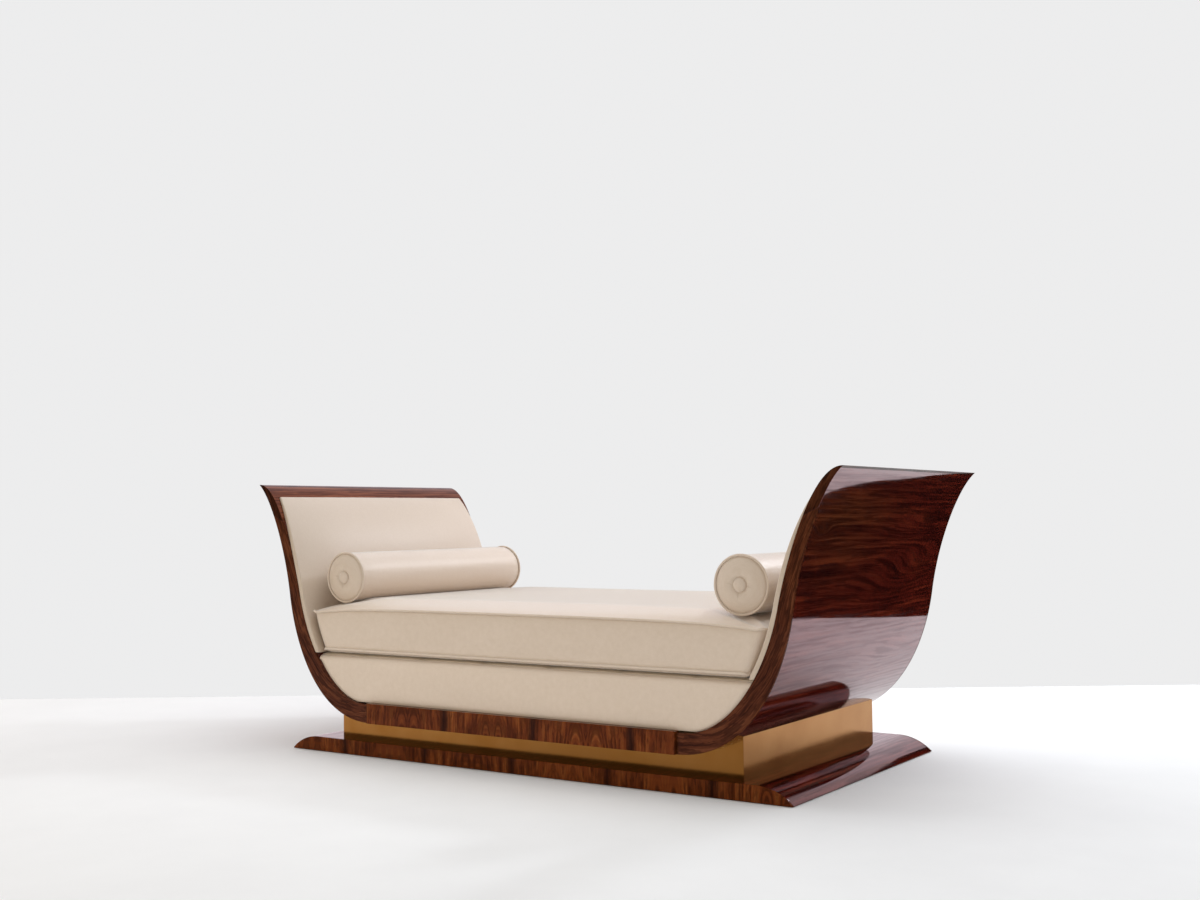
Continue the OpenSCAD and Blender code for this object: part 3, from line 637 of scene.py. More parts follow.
LOW_ROWS = [(t, max(0.0, (t - 0.035) / 0.965)) for t in shares(64)]
MID_ROWS = [(1 + (SCARF_OUTER - 1) * s, 1 + (SCARF_INNER - 1) * s) for s in shares(30)][1:]
TOP_ROWS = [(SCARF_OUTER + (2 - SCARF_OUTER) * s, SCARF_INNER + (2 - SCARF_INNER) * s)
            for s in shares(40)]
PANEL_COLUMNS = 9
TIP_LINE, ON_EDGE = 0.0065, 1e-5
CREST_EASE, BAND_EASE, BAR_EASE = 0.0008, 0.0010, 0.0012
ROOT_TOP = (ROOT_X, BODY_Z + ROOT_T)
SCARF_RUN = swept_rows(LOW_ROWS + MID_ROWS, ROOT_TOP)[1][-1]
for side, name in ENDS:
    board = swept(f"{name}_end_panel", side, LOW_ROWS + MID_ROWS,
                  -SIDE_Y + BAND_T, SIDE_Y - BAND_T, PANEL_COLUMNS, first=ROOT_TOP)
    ready(board, "daybed", "rosewood", [END_WOOD, EDGE_WOOD], f"{name}_end_board")
    crest = swept(f"{name}_crest_panel", side, TOP_ROWS, -SIDE_Y, SIDE_Y, PANEL_COLUMNS,
                  start=SCARF_RUN)
    one_side = (len(TOP_ROWS) - 1) * (PANEL_COLUMNS - 1)
    for polygon in crest.data.polygons:
        if one_side <= polygon.index < 2 * one_side:
            polygon.material_index = 2
        if polygon.center.z > TIP[1] - TIP_LINE:
            polygon.material_index = 1
    eased(crest, CREST_EASE,
          lambda p: abs(p.y) > SIDE_Y - ON_EDGE or p.z > TIP[1] - ON_EDGE)
    ready(crest, "daybed", "rosewood", [END_WOOD, CREST_WOOD, LIT_CREST_FACE_WOOD], f"{name}_crest")
    for front, end in FACES:
        low, high = sorted((front * SIDE_Y, front * (SIDE_Y - BAND_T)))
        band = swept(f"{name}_{end}_band", side, LOW_ROWS + MID_ROWS, low, high, 2, first=ROOT_TOP)
        eased(band, BAND_EASE, lambda p: abs(p.y) > SIDE_Y - ON_EDGE)
        ready(band, "daybed", "edge_rosewood", [EDGE_WOOD, EDGE_WOOD],
              f"{name}_{end}_edge_band")


def bar(name, low, high):
    """A planed board with its arrises eased."""
    made = bmesh.new()
    bmesh.ops.create_cube(made, size=1.0)
    size, middle = (high - low), (high + low) / 2
    for vert in made.verts:
        vert.co = Vector([vert.co[i] * size[i] + middle[i] for i in range(3)])
    mesh = bpy.data.meshes.new(name)
    made.to_mesh(mesh)
    made.free()
    piece = bpy.data.objects.new(name, mesh)
    bpy.context.scene.collection.objects.link(piece)
    mesh.shade_smooth()
    return bevelled(piece, BAR_EASE)


for name in ("front_rail", "back_rail"):
    low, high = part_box(name)
    ready(bar(f"{name}_veneered", low, high), "daybed", "crossband", RAIL_WOOD, name)


# Plinth: nosings with an exact round, and the lippings that cover the whole profile

PLINTH_Z, PLINTH_TOP = 0.0015, 0.045
NOSING_X, NOSING_L, NOSING_FOOT = 0.7825, 0.105, 0.0015
NOSING_ARC = 40
NOSING_EASE, LIPPING_EASE, FINE_ANGLE = 0.0006, 0.0008, 35


def nosing_profile():
    drop = PLINTH_TOP - PLINTH_Z - NOSING_FOOT
    radius = (NOSING_L ** 2 + drop ** 2) / (2 * drop)
    last = asin(NOSING_L / radius)
    return [(radius * sin(last * i / NOSING_ARC),
             PLINTH_TOP - radius * (1 - cos(last * i / NOSING_ARC)))
            for i in range(NOSING_ARC + 1)]


def prism(name, outline, low_y, high_y):
    """A solid with a given outline in XZ, between two depths."""
    count = len(outline)
    points = [(x, y, z) for y in (low_y, high_y) for x, z in outline]
    faces = [tuple(range(count)), tuple(range(2 * count - 1, count - 1, -1))]
    faces += [(i, (i + 1) % count, count + (i + 1) % count, count + i) for i in range(count)]
    return fix_normals(mesh_object(name, points, faces))


board_low, board_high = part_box("base_board")
for side, name in ENDS:
    arc = [(side * (NOSING_X + x), z) for x, z in nosing_profile()]
    outline = arc + [(side * (NOSING_X + NOSING_L), PLINTH_Z), (side * NOSING_X, PLINTH_Z)]
    nosing = prism(f"base_{name}_nosing_round", outline, board_low.y, board_high.y)
    bevelled(nosing, NOSING_EASE, 2, FINE_ANGLE)
    ready(nosing, "daybed", "rosewood", TOP_WOOD, f"base_{name}_nosing")
for name in ("base_front_lipping", "base_back_lipping"):
    low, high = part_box(name)
    arc = [(NOSING_X + x, z) for x, z in nosing_profile()] + [(NOSING_X + NOSING_L, PLINTH_Z)]
    outline = arc + [(-x, z) for x, z in reversed(arc)]
    lipping = prism(f"{name}_veneered", outline, low.y, high.y)
    bevelled(lipping, LIPPING_EASE, 2, FINE_ANGLE)
    ready(lipping, "daybed", "crossband", BAND_WOOD, name)


# Upholstery

PAD_EDGE_T, PAD_TOP_T, PAD_CROWN = 0.015, 0.006, 0.030
DECK_TOP = 0.3107
CUSHION_Z = 0.3110
SEAM_Z = CUSHION_Z + 0.123
CUSHION_Y = 0.464
CROWN = 0.045
PAD_SEAM_R, PAD_SWELL_FROM, PAD_TOP_T_AT = 0.004, 0.27, 1.75
PAD_SAG, PAD_PUCKER, PAD_TOP_PUCKER = 0.0012, 0.0009, 0.0010


def pad_line_points(count):
    """Where the pad lies on the inner face, from the deck up to its top edge."""
    line = offset_line(INNER_LINE, GAP)
    low, top = CUSHION_Z, inner_at(PAD_TOP_T_AT)[1]
    keep = np.array([(x_at(line, low), low)] + [tuple(p) for p in line if low < p[1] < top])
    run = np.concatenate([[0], np.cumsum(np.linalg.norm(np.diff(keep, axis=0), axis=1))])
    at = np.linspace(0, run[-1], count)
    return np.stack([np.interp(at, run, keep[:, 0]), np.interp(at, run, keep[:, 1])], 1)


def pad_swell(u):
    if u <= PAD_SWELL_FROM:
        return 0.0
    w = min(1.0, (u - PAD_SWELL_FROM) / (1 - PAD_SWELL_FROM))
    return sin(pi * w) ** 0.75 if w < 1 else 0.0


def pad_side_t(u):
    return PAD_EDGE_T + (PAD_TOP_T - PAD_EDGE_T) * u ** 4


def pad_half_depth(u):
    return SIDE_Y - 0.002 - 0.022 * max(0.0, 2 * u - 1) ** 2


def end_pad(name, side):
    """A pad on an end's inner face: flat strips at its sides, a turned seam, and a face that
    swells between them."""
    rows, columns = 90, 96
    line = pad_line_points(rows)
    way = np.gradient(line, axis=0)
    way /= np.linalg.norm(way, axis=1)[:, None]
    inward = np.stack([-way[:, 1], way[:, 0]], 1)
    seam_r = PAD_SEAM_R
    points = []
    width = 0
    for i in range(rows):
        u = i / (rows - 1)
        half, edge = pad_half_depth(u), pad_side_t(u)
        profile = []
        # The strip from the wood to the seam, then a round turn, then the face
        for s in (0.0, 0.25, 0.5, 0.75, 0.9):
            profile.append((-half, s * (edge - seam_r)))
        for k in range(1, 5):
            a = pi / 2 * k / 5
            profile.append((-half + seam_r * (1 - cos(a)),
                            edge - seam_r + seam_r * sin(a)))
        for j in range(columns + 1):
            v = -1 + 2 * j / columns
            y = v * (half - seam_r)
            share = 1 - abs(v) ** 4
            near = 1 - abs(v)
            height = edge + PAD_CROWN * pad_swell(u) * share
            sag = PAD_SAG * wave_at(y * 3.1, u * 3.7, side * 4.0)
            pucker = PAD_PUCKER * wave_at(u * 46.0, v * 2.0, side * 7.0)
            height += (sag * min(1, near * 8)) + pucker * exp(-near * 22) * min(1, near * 60)
            if u > 0.9:
                pucker = PAD_TOP_PUCKER * wave_at(y * 46.0, 3.0, side * 5.0)
                height += pucker * exp(-(1 - u) * 60)
            profile.append((y, height))
        profile += [(-y, h) for y, h in reversed(profile[:9])]
        width = len(profile)
        lift = np.array([-1.0, 0.0]) if i == 0 else inward[i]
        for y, h in profile:
            spot = line[i] + lift * h
            points.append((side * spot[0], y, spot[1]))
    count = rows * width
    base = []
    for i in range(rows):
        half = pad_half_depth(i / (rows - 1))
        for k in range(width):
            y = -half + 2 * half * k / (width - 1)
            base.append((side * line[i][0], y, line[i][1]))
    faces = grid_faces(rows, width) + grid_faces(rows, width, count, flip=True)
    faces += wall_faces(rows, width, count, (0, rows - 1))
    return fix_normals(mesh_object(name, points + base, faces))


for side, name in ENDS:
    pad = end_pad(f"{name}_end_cushioning", side)
    ready(pad, "daybed", "upholstery", SHADED_PAD_CLOTH, f"{name}_end_pad")


APRON_FACE_Y, APRON_BACK_Y, APRON_ROLL, APRON_LOW = 0.472, 0.448, 0.024, 0.1655
APRON_LIP, APRON_HEM = 0.008, 0.014
APRON_TUCK, APRON_TUCK_W, APRON_WAVE = 0.0035, 0.006, 0.0007


def apron(name, front):
    """The covered front or back of the seat, scribed to the inner faces and rolled over at its
    top. Its flat strip behind leaves out the last row."""
    line = offset_line(INNER_LINE, 2 * GAP)
    columns, face_rows, roll_rows = 150, 22, 8
    roll_z = DECK_TOP - APRON_ROLL
    rows = [(z, APRON_FACE_Y) for z in np.linspace(APRON_LOW, roll_z, face_rows)]
    for k in range(1, roll_rows + 1):
        a = pi / 2 * k / roll_rows
        rows.append((roll_z + (APRON_ROLL - APRON_LIP) * sin(a),
                     APRON_FACE_Y - APRON_ROLL + APRON_ROLL * cos(a)))
    rows += [(DECK_TOP - APRON_LIP, APRON_BACK_Y), (DECK_TOP - APRON_HEM, APRON_BACK_Y)]
    points, back = [], []
    for k, (z, y) in enumerate(rows):
        half = x_at(line, z)
        for j in range(columns + 1):
            v = -1 + 2 * j / columns
            x = v * half
            near = min((1 - abs(v)) * half, max(0.0, z - APRON_LOW))
            tuck = APRON_TUCK * exp(-near / APRON_TUCK_W) if k < face_rows else 0.0
            wave = APRON_WAVE * wave_at(x * 2.3, z * 9.0, 1.0 + front)
            points.append((x, front * (y - tuck + (wave if k < face_rows + 2 else 0)), z))
            back.append((x, front * APRON_BACK_Y, z))
    wide, last, count = columns + 1, len(rows) - 1, len(points)
    faces = grid_faces(last + 1, wide) + grid_faces(last, wide, count, flip=True)
    faces += wall_faces(last, wide, count, (0,))
    return fix_normals(mesh_object(name, points + back[:last * wide], faces))


for front, name in FACES:
    cover = apron(f"{name}_apron_cover", front)
    ready(cover, "daybed", "upholstery", LIT_APRON_CLOTH, f"{name}_apron")


CHANNEL_PITCH, CHANNEL_DROP = 0.24, 0.0035
BORDER_DROP, BORDER_W, DECK_CLEAR = 0.005, 0.007, 0.0005


def deck(name):
    """The platform under the cushion, quilted in channels."""
    low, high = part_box("deck_pad")
    line = offset_line(INNER_LINE, GAP)
    columns, rows = 160, 70
    points = []
    for lift in (0, 1):
        z = high.z if lift else low.z
        half = x_at(line, z) - DECK_CLEAR
        for i in range(rows + 1):
            y = low.y + (high.y - low.y) * i / rows
            for j in range(columns + 1):
                v = -1 + 2 * j / columns
                x = v * half
                drop = 0.0
                if lift:
                    seam = abs(sin(pi * (x / CHANNEL_PITCH + 0.5)))
                    drop = CHANNEL_DROP * exp(-seam * 9)
                    border = min(y - low.y, high.y - y, half - abs(x))
                    drop += BORDER_DROP * exp(-border / BORDER_W)
                points.append((x, y, z - drop))
    wide = columns + 1
    count = (rows + 1) * wide
    faces = grid_faces(rows + 1, wide, flip=True) + grid_faces(rows + 1, wide, count)
    faces += wall_faces(rows + 1, wide, count, (0, rows))
    return fix_normals(mesh_object(name, points, faces))


platform = deck("deck_platform")
ready(platform, "daybed", "upholstery", DECK_CLOTH, "deck_pad")


# Seat cushion: panels on a graded grid, blown up by a cloth simulation between its seams

PAD_FACE = offset_line(INNER_LINE, GAP + PAD_EDGE_T)
LOW_X = x_at(PAD_FACE, CUSHION_Z) - 0.002
TOP_X = x_at(PAD_FACE, SEAM_Z) - 0.011
CORNER_R = 0.026
LIFT, LIFT_W = 0.0100, 0.012
SIDE_ROWS = 12
SEAM_PULL, SIDE_SWELL, CROWN_START = 0.005, 0.003, 0.88
PRESSURE, MOVE_CAP, SIM_FRAMES, STIFF = 2.2, 0.009, 20, 15.0
PIPING_R, PIPING_OUT = 0.0038, (0.0012, 0.0034)


def graded(half):
    """Places across a panel, close together near its seams."""
    edge = [0.0, 0.003, 0.007, 0.012, 0.018, 0.026, 0.036, 0.048]
    middle = np.linspace(-half + 0.060, half - 0.060, int((2 * half - 0.12) / 0.0125))
    return np.concatenate([[-half + e for e in edge], middle, [half - e for e in reversed(edge)]])


def in_corner(x, y, half_x, half_y, radius):
    """A point of a rectangle moved into one with rounded corners."""
    a = (abs(x) - (half_x - radius)) / radius
    b = (abs(y) - (half_y - radius)) / radius
    if a <= 0 or b <= 0:
        return x, y
    p, q = a * sqrt(1 - b * b / 2), b * sqrt(1 - a * a / 2)
    return (copysign(half_x - radius + radius * p, x),
            copysign(half_y - radius + radius * q, y))


def crown_at(x, y):
    long = 1 - min(1, abs(x) / TOP_X) ** 8
    short = 1 - min(1, abs(y) / CUSHION_Y) ** 24
    return CROWN * (long * short) ** 0.5


def cushion_mesh(name):
    xs, ys = graded(TOP_X), graded(CUSHION_Y)
    nx, ny = len(xs), len(ys)
    # The border of the panels' grid, in order round it
    border = [(i, 0) for i in range(nx - 1)] + [(nx - 1, j) for j in range(ny - 1)]
    border += [(i, ny - 1) for i in range(nx - 1, 0, -1)] + [(0, j) for j in range(ny - 1, 0, -1)]
    points, faces, index = [], [], {}
    for level in ("low", "top"):
        for j in range(ny):
            for i in range(nx):
                half_x = TOP_X if level == "top" else LOW_X
                x = xs[i] * half_x / TOP_X
                x, y = in_corner(x, ys[j], half_x, CUSHION_Y, CORNER_R)
                pull = SEAM_PULL * (1 - (x / half_x) ** 4) * (abs(y) / CUSHION_Y) ** 4
                y -= copysign(pull, y)
                inset = min(half_x - abs(x), CUSHION_Y - abs(y))
                z = CUSHION_Z + LIFT * bell(max(0.0, inset), LIFT_W)
                if level == "top":
                    z = SEAM_Z + CROWN_START * crown_at(x, y)
                index[level, i, j] = len(points)
                points.append((x, y, z))
    for level in ("low", "top"):
        for j in range(ny - 1):
            for i in range(nx - 1):
                quad = (index[level, i, j], index[level, i + 1, j],
                        index[level, i + 1, j + 1], index[level, i, j + 1])
                faces.append(quad if level == "top" else quad[::-1])
    rings = [[index["low", i, j] for i, j in border]]
    for k in range(1, SIDE_ROWS):
        share = k / SIDE_ROWS
        ring = []
        for i, j in border:
            a, b = np.array(points[index["low", i, j]]), np.array(points[index["top", i, j]])
            spot = a + (b - a) * share
            out = np.array([spot[0] / TOP_X, spot[1] / CUSHION_Y]) ** 5
            out /= max(1e-6, np.linalg.norm(out))
            spot[:2] += SIDE_SWELL * sin(pi * share) * out
            ring.append(len(points))
            points.append(tuple(spot))
        rings.append(ring)
    rings.append([index["top", i, j] for i, j in border])
    count = len(border)
    for k in range(SIDE_ROWS):
        for n in range(count):
            faces.append((rings[k][n], rings[k][(n + 1) % count],
                          rings[k + 1][(n + 1) % count], rings[k + 1][n]))
    piece = fix_normals(mesh_object(name, points, faces))
    return piece, rings[0], rings[-1]


def inflate(piece, pinned):
    """Blows a closed mesh up with cloth physics, holds it at its pinned points, and limits how
    far any point moves."""
    start = np.array([v.co for v in piece.data.vertices])
    held = piece.vertex_groups.new(name="held")
    held.add([int(i) for i in pinned], 1.0, "REPLACE")
    cloth_sim = piece.modifiers.new("cloth", "CLOTH")
    settings = cloth_sim.settings
    settings.quality = 5
    settings.mass = 0.4
    settings.tension_stiffness = settings.compression_stiffness = STIFF
    settings.shear_stiffness = STIFF * 0.6
    settings.bending_stiffness = 1.2
    settings.use_pressure = True
    settings.uniform_pressure_force = PRESSURE
    settings.vertex_group_mass = "held"
    settings.effector_weights.gravity = 0.0
    cloth_sim.collision_settings.use_collision = False
    scene = bpy.context.scene
    cloth_sim.point_cache.frame_start, cloth_sim.point_cache.frame_end = 1, SIM_FRAMES
    for number in range(1, SIM_FRAMES + 1):
        scene.frame_set(number)
    evaluated = piece.evaluated_get(bpy.context.evaluated_depsgraph_get())
    end = np.array([v.co for v in evaluated.data.vertices])
    piece.modifiers.remove(cloth_sim)
    move = end - start
    length = np.linalg.norm(move, axis=1)[:, None]
    move *= np.minimum(1, MOVE_CAP / np.maximum(length, 1e-9))
    piece.data.vertices.foreach_set("co", (start + move).astype(np.float32).ravel())
    piece.data.update()
    piece.vertex_groups.clear()
    scene.frame_set(1)


cushion, low_ring, top_ring = cushion_mesh("seat_cushion_cover")
low_points = [cushion.data.vertices[i].co.copy() for i in low_ring]
top_points = [cushion.data.vertices[i].co.copy() for i in top_ring]
flat = [v.index for v in cushion.data.vertices if v.co.z < CUSHION_Z + LIFT - 0.0001]
inflate(cushion, set(low_ring) | set(top_ring) | set(flat))
for vertex in cushion.data.vertices:
    vertex.co.z = max(vertex.co.z, CUSHION_Z)
ready(cushion, "cushion", "cushion_fabric", CUSHION_CLOTH, "seat_cushion")
for label, ring, lift in (("bottom", low_points, 0.0030), ("top", top_points, 0.0)):
    path = [(p.x * (1 + PIPING_OUT[0] / TOP_X), p.y * (1 + PIPING_OUT[1] / CUSHION_Y), p.z + lift)
            for p in ring]
    cord = tube(f"cushion_{label}_piping", path, PIPING_R, 0.10)
    ready(cord, "cushion", "cushion_fabric", CUSHION_CLOTH)


# Bolsters

BOLSTER_R, BOLSTER_HALF, BOLSTER_PUFF = 0.079, 0.404, 0.018
BUTTON_R, BUTTON_H = 0.0175, 0.006
ROUND = 128
WELT_R, WELT_IN, WELT_OUT = 0.0034, 0.0004, 0.0005
SEAM_TURN, BUTTON_SEAT = 0.003, 0.0179
COVER_WAVE, COVER_PUCKER = 0.0007, 0.0010
# Depth, radius and width of the thread pulls, the button's groove and the rim's groove
PULL, GROOVE, RIM = (0.0022, 0.027, 0.006), (0.0046, 0.0205, 0.0030), (0.0030, 0.0745, 0.0026)
THREAD_W = 0.0022


def end_height(r):
    dome = BOLSTER_PUFF * (1 - (r / BOLSTER_R) ** 2)
    dimple_r = BUTTON_R + GAP
    edge = BOLSTER_PUFF * (1 - (dimple_r / BOLSTER_R) ** 2)
    if r <= dimple_r:
        return BOLSTER_PUFF - BUTTON_H
    return dome - (edge - (BOLSTER_PUFF - BUTTON_H)) * exp(-((r - dimple_r) / BUTTON_R) ** 2)


def bolster(name, x, z, seed):
    """A turned bolster: its cover puckers along the piping and waves a little between."""
    sides = ROUND
    radii = [0.0, 0.006, 0.012, 0.0178, 0.020, 0.023, 0.027, 0.032, 0.038, 0.045, 0.052, 0.059,
             0.066, 0.0695, 0.072, 0.0745, 0.077]
    runs = [0.0, 0.003, 0.007, 0.012, 0.018, 0.026, 0.036, 0.05, 0.07]
    profile = [(r, BOLSTER_HALF + end_height(r), "end") for r in radii]
    runs += list(np.linspace(0.09, BOLSTER_HALF - SEAM_TURN, 22))
    profile += [(BOLSTER_R, BOLSTER_HALF - SEAM_TURN - e, "side") for e in runs]
    profile += [(r, -h, kind) for r, h, kind in reversed(profile[:-1])]
    points = []
    for r, h, kind in profile:
        for k in range(sides):
            a = 2 * pi * k / sides
            ca, sa = cos(a), sin(a)
            rr, hh = r, h
            if kind == "side":
                near = BOLSTER_HALF - SEAM_TURN - abs(h)
                rr -= 0.0026 * bell(near, 0.0035)
                rr -= 0.0016 * bell(near - 0.012, 0.014)
                rr += COVER_PUCKER * wave_at(ca * 13, sa * 13, seed + copysign(3, h)) \
                    * exp(-near / 0.028) * min(1, near / 0.004)
                rr += COVER_WAVE * wave_at(ca * 2.2, sa * 2.2, h * 4 + seed)
            elif r > BUTTON_SEAT:
                spoke = abs((a / (pi / 2) + 0.08) % 1.0 - 0.5) - 0.5
                thread = bell(spoke * pi / 2 * r, THREAD_W)
                for (depth, at, width), share in ((PULL, thread), (GROOVE, 1), (RIM, 1)):
                    hh -= copysign(depth * share * bell(r - at, width), h)
                crease = wave_at(ca * 7, sa * 7, seed + copysign(9, h))
                fine = wave_at(ca * 19, sa * 19, seed + copysign(5, h))
                fade = exp(-(r - 0.018) / 0.020)
                rim = exp(-(0.079 - r) / 0.010)
                hh += copysign(0.0013 * crease * fade + 0.0006 * fine * (fade + rim), h)
            points.append((x + rr * ca, hh, z + rr * sa))
    faces = grid_faces(len(profile), sides, closed=True)
    return fix_normals(mesh_object(name, points, faces))


def circle_path(x, y, z, radius):
    turns = [2 * pi * k / ROUND for k in range(ROUND)]
    return [(x + radius * cos(a), y, z + radius * sin(a)) for a in turns]


def button(name, x, z, end):
    """A covered button: a dome with the cloth drawn in under it."""
    rings, sides = 12, 48
    dome_r = (BUTTON_R ** 2 + BUTTON_H ** 2) / (2 * BUTTON_H)
    base = BOLSTER_HALF + BOLSTER_PUFF - BUTTON_H + GAP
    rows = []
    for i in range(rings + 1):
        r = BUTTON_R * i / rings
        h = base + sqrt(dome_r ** 2 - r ** 2) - (dome_r - BUTTON_H)
        rows.append((r, h, (i / rings) ** 4))
    rows += [(BUTTON_R * 0.985, base, 0.0), (0.0, base, 0.0)]
    points = []
    for r, h, share in rows:
        for k in range(sides):
            a = 2 * pi * k / sides
            fold = 0.00025 * sin(a * 11) * share
            points.append((x + r * cos(a), end * (h + fold), z + r * sin(a)))
    faces = grid_faces(len(rows), sides, closed=True)
    return fix_normals(mesh_object(name, points, faces))


for name, seed in (("left", 1.7), ("right", 6.3)):
    low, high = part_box(f"{name}_bolster")
    x, z = (low.x + high.x) / 2, (low.z + high.z) / 2
    body = f"{name}_bolster"
    roll = bolster(f"{name}_bolster_cover", x, z, seed)
    ready(roll, body, "bolster_fabric", SHADED_BOLSTER_CLOTH, f"{name}_bolster")
    for end, which in FACES:
        rim = end * (BOLSTER_HALF + WELT_OUT)
        welt = tube(f"{name}_bolster_{which}_piping",
                    circle_path(x, rim, z, BOLSTER_R - WELT_IN), WELT_R, 0.08)
        ready(welt, body, "bolster_fabric", SHADED_BOLSTER_CLOTH)
        stud = button(f"{name}_bolster_{which}_button", x, z, end)
        ready(stud, body, "bolster_fabric", SHADED_BOLSTER_CLOTH)
        if end < 0:
            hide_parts(f"{name}_bolster_buttons")


# Materials of the nodes that stay as the CAD made them

SIDES = ("front", "back", "left", "right")
KEPT = {
    BEECH: [*(f"pedestal_{side}_board" for side in SIDES),
            *(f"frame_{side}_rail" for side in SIDES), "pedestal_cross_rails", "corner_blocks",
            "bottom_board", "body_dowels", "frame_stretchers"],
    BRASS: ["brass_back_sheet", "brass_left_sheet", "brass_right_sheet"],
    FRONT_BRASS_PAINTED_REFLECTION: ["brass_front_sheet"],
    STEEL: ["plinth_bolts", "body_bolts"],
    FELT: ["floor_glides"],
    JUTE: ["cross_webbing", "long_webbing"],
    TOP_WOOD: ["base_board"],
}
for material, names in KEPT.items():
    for name in names:
        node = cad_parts[name]
        node.data.materials.clear()
        node.data.materials.append(material)


# Stage: a pale floor up to where the photograph's wall begins, and flags that only gloss sees

EYE = Vector((2.4506, -3.6025, 0.7292))
YAW, PITCH, ROLL = 0.5982, -0.0489, -0.0121
AHEAD = Vector((-sin(YAW) * cos(PITCH), cos(YAW) * cos(PITCH),
                -sin(PITCH)))
WALL_WAY = Vector((-sin(YAW), cos(YAW), 0))
WALL_AT = Vector((-0.812, 1.184, 0))


def gloss_only(piece):
    piece.visible_camera = piece.visible_diffuse = piece.visible_shadow = False


def plane(name, corners, material):
    piece = mesh_object(name, corners, [tuple(range(len(corners)))], smooth=False)
    piece.data.materials.append(material)
    piece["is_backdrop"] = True
    return piece


def floor_material():
    s = Shader("studio_floor")
    x, y, z = s.coords()
    scuff = s.noise(s.join(x, y, z), 3.0, 4.0, 0.6)
    colour = s.ramp(scuff, (0.3, (0.838, 0.832, 0.826)), (0.7, (0.866, 0.860, 0.853)))
    s.set(Base_Color=colour, Roughness=0.75, Specular_IOR_Level=0.2)
    return s.material


def flat_material(name, colour):
    s = Shader(name)
    s.set(Base_Color=colour, Roughness=1.0, Specular_IOR_Level=0.0)
    return s.material


across = Vector((cos(YAW), sin(YAW), 0))
floor_side, floor_depth = across * 14, WALL_WAY * 16
plane("floor", [WALL_AT - floor_side, WALL_AT + floor_side, WALL_AT + floor_side - floor_depth,
                WALL_AT - floor_side - floor_depth], floor_material())
BLACK = flat_material("black_flag", (0.004, 0.004, 0.004))
# A black sheet beyond the white sweep, seen only in the gloss: a painted dark reflection
sweep = plane("painted_dark_reflection_sheet", [(x, y, 0.001) for x, y in (
    (2.30, 0.40), (1.67, 1.37), (1.50, 1.63), (1.39, 1.87), (1.35, 2.05), (1.31, 2.20),
    (1.24, 2.32), (1.17, 2.45), (1.08, 2.64), (1.00, 2.77), (0.90, 3.00), (0.80, 12.0),
    (14.0, 12.0), (14.0, 0.40))], BLACK)
gloss_only(sweep)


def glowing(name, colour):
    s = Shader(name)
    s.set(Base_Color=(0.0, 0.0, 0.0), Specular_IOR_Level=0.0, Emission_Color=colour,
          Emission_Strength=1.0)
    return s.material


def flag(name, start, end, low, high, colour):
    """An upright card that glows pale or black between two places of the floor and two heights,
    seen only in the gloss: a painted reflection.
    """
    corners = [(*start, low), (*end, low), (*end, high), (*start, high)]
    gloss_only(plane(name, corners, glowing(name, colour)))


NIGHT = (0.002, 0.002, 0.002)
WALL_END = Vector((0.985, 2.387, 0))
# A glowing pink card where the wall stands: a painted reflection
flag("glowing_wall_reflection", (WALL_END - across * 9).xy, WALL_END.xy, 0, 3.5, (0.98, 0.84, 0.90))
# Cards far behind the right end, one above the other, glowing, dark and glowing: painted
# reflections
for label, low, high, tone in (("foot", 0, 1.7, (0.44, 0.35, 0.27)), ("dark", 1.7, 3.2, NIGHT),
                               ("top", 3.2, 6, (0.88, 0.72, 0.73))):
    flag(f"glowing_reflection_card_{label}", (0.9, 7.5), (9, 5), low, high, tone)
# A dim glowing card in front: a painted reflection
flag("glowing_front_reflection", (-12, -7), (5, -12), 0, 3, (0.22, 0.19, 0.15))
# A black room that is open behind the object, seen only in the gloss: painted dark reflections
ROOM_X, ROOM_Y, ROOM_Z = 16.0, 14.0, 8.0
CORNERS = [(-ROOM_X, -ROOM_Y), (ROOM_X, -ROOM_Y), (ROOM_X, ROOM_Y), (-ROOM_X, ROOM_Y)]
for name, start, end in (("front", 0, 1), ("left", 0, 3), ("right", 1, 2)):
    flag(f"studio_{name}_black", CORNERS[start], CORNERS[end], 0, ROOM_Z, NIGHT)
gloss_only(plane("studio_ceiling_black", [(*corner, ROOM_Z) for corner in CORNERS],
                 glowing("studio_ceiling_black", NIGHT)))

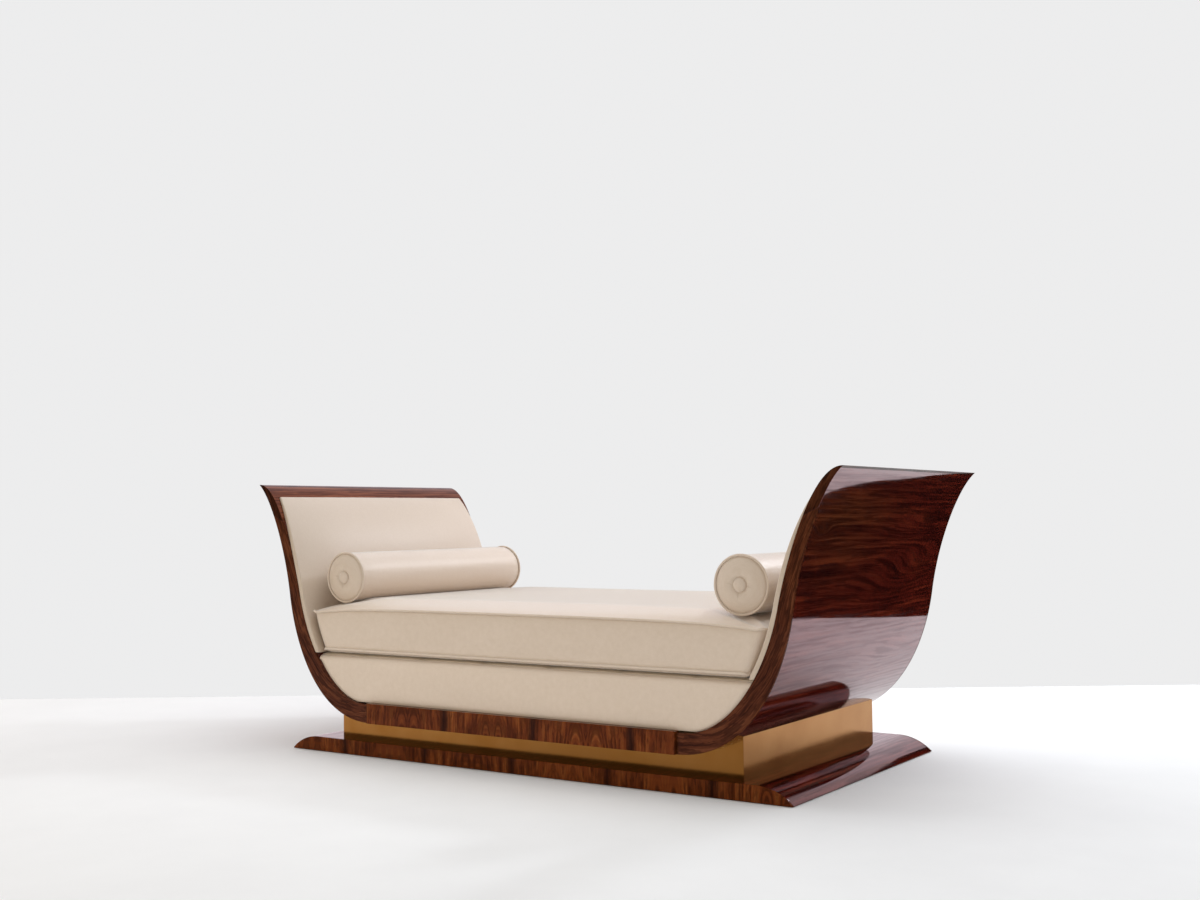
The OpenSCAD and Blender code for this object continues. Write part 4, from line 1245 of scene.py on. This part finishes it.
world = bpy.data.worlds.new("studio")
bpy.context.scene.world = world
world.use_nodes = True
nodes, links = world.node_tree.nodes, world.node_tree.links
nodes.clear()
paths = nodes.new("ShaderNodeLightPath")
seen, lit = nodes.new("ShaderNodeBackground"), nodes.new("ShaderNodeBackground")
seen.inputs[0].default_value = (0.845, 0.845, 0.848, 1)
lit.inputs[0].default_value = (1.0, 0.97, 0.93, 1)
lit.inputs[1].default_value = 0.54
blend, out = nodes.new("ShaderNodeMixShader"), nodes.new("ShaderNodeOutputWorld")
# The camera, gloss and glass see the pale backdrop, and only diffuse rays see the light
links.new(paths.outputs["Is Diffuse Ray"], blend.inputs[0])
links.new(seen.outputs[0], blend.inputs[1])
links.new(lit.outputs[0], blend.inputs[2])
links.new(blend.outputs[0], out.inputs[0])
world.cycles.sampling_method = "NONE"


def area_light(name, place, target, size, power, colour=(1, 1, 1), glossy=False):
    data = bpy.data.lights.new(name, "AREA")
    data.shape = "RECTANGLE"
    data.size, data.size_y = size
    data.energy = power
    data.color = colour
    lamp = bpy.data.objects.new(name, data)
    bpy.context.scene.collection.objects.link(lamp)
    lamp.location = place
    lamp.rotation_euler = (Vector(target) - Vector(place)).to_track_quat("-Z", "Y").to_euler()
    lamp.visible_camera = False
    lamp.visible_glossy = glossy


area_light("ceiling", (0.2, 1.0, 4.2), (0.2, 0.4, 0), (5.0, 5.0), 128, (0.93, 1.0, 1.09))
area_light("key", (1.4, 2.65, 2.6), (0, 0, 0.3), (0.40, 0.40), 37, (0.95, 1.0, 1.07), True)
area_light("side", (-4.0, -0.5, 2.2), (0, 0, 0.4), (3.0, 2.5), 22)
area_light("fill", (-2.2, -5.2, 1.3), (0, 0, 0.4), (3.0, 2.0), 42, (1.10, 0.95, 0.67))

# Camera, as solved from the photograph

FOCAL_PX, PHOTO_W, SENSOR_W = 1374.94, 1200, 36
above = across.cross(AHEAD)
turned = across * cos(ROLL) + above * sin(ROLL)
upright = above * cos(ROLL) - across * sin(ROLL)
lens = bpy.data.cameras.new("camera")
lens.sensor_width = SENSOR_W
lens.sensor_fit = "HORIZONTAL"
lens.lens = FOCAL_PX * SENSOR_W / PHOTO_W
lens.clip_start, lens.clip_end = 0.05, 100
camera = bpy.data.objects.new("camera", lens)
bpy.context.scene.collection.objects.link(camera)
camera.matrix_world = Matrix.Translation(EYE) @ Matrix(
    (turned, upright, -AHEAD)).transposed().to_4x4()
bpy.context.scene.camera = camera
bpy.context.scene.view_settings.view_transform = "Standard"

low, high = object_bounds()
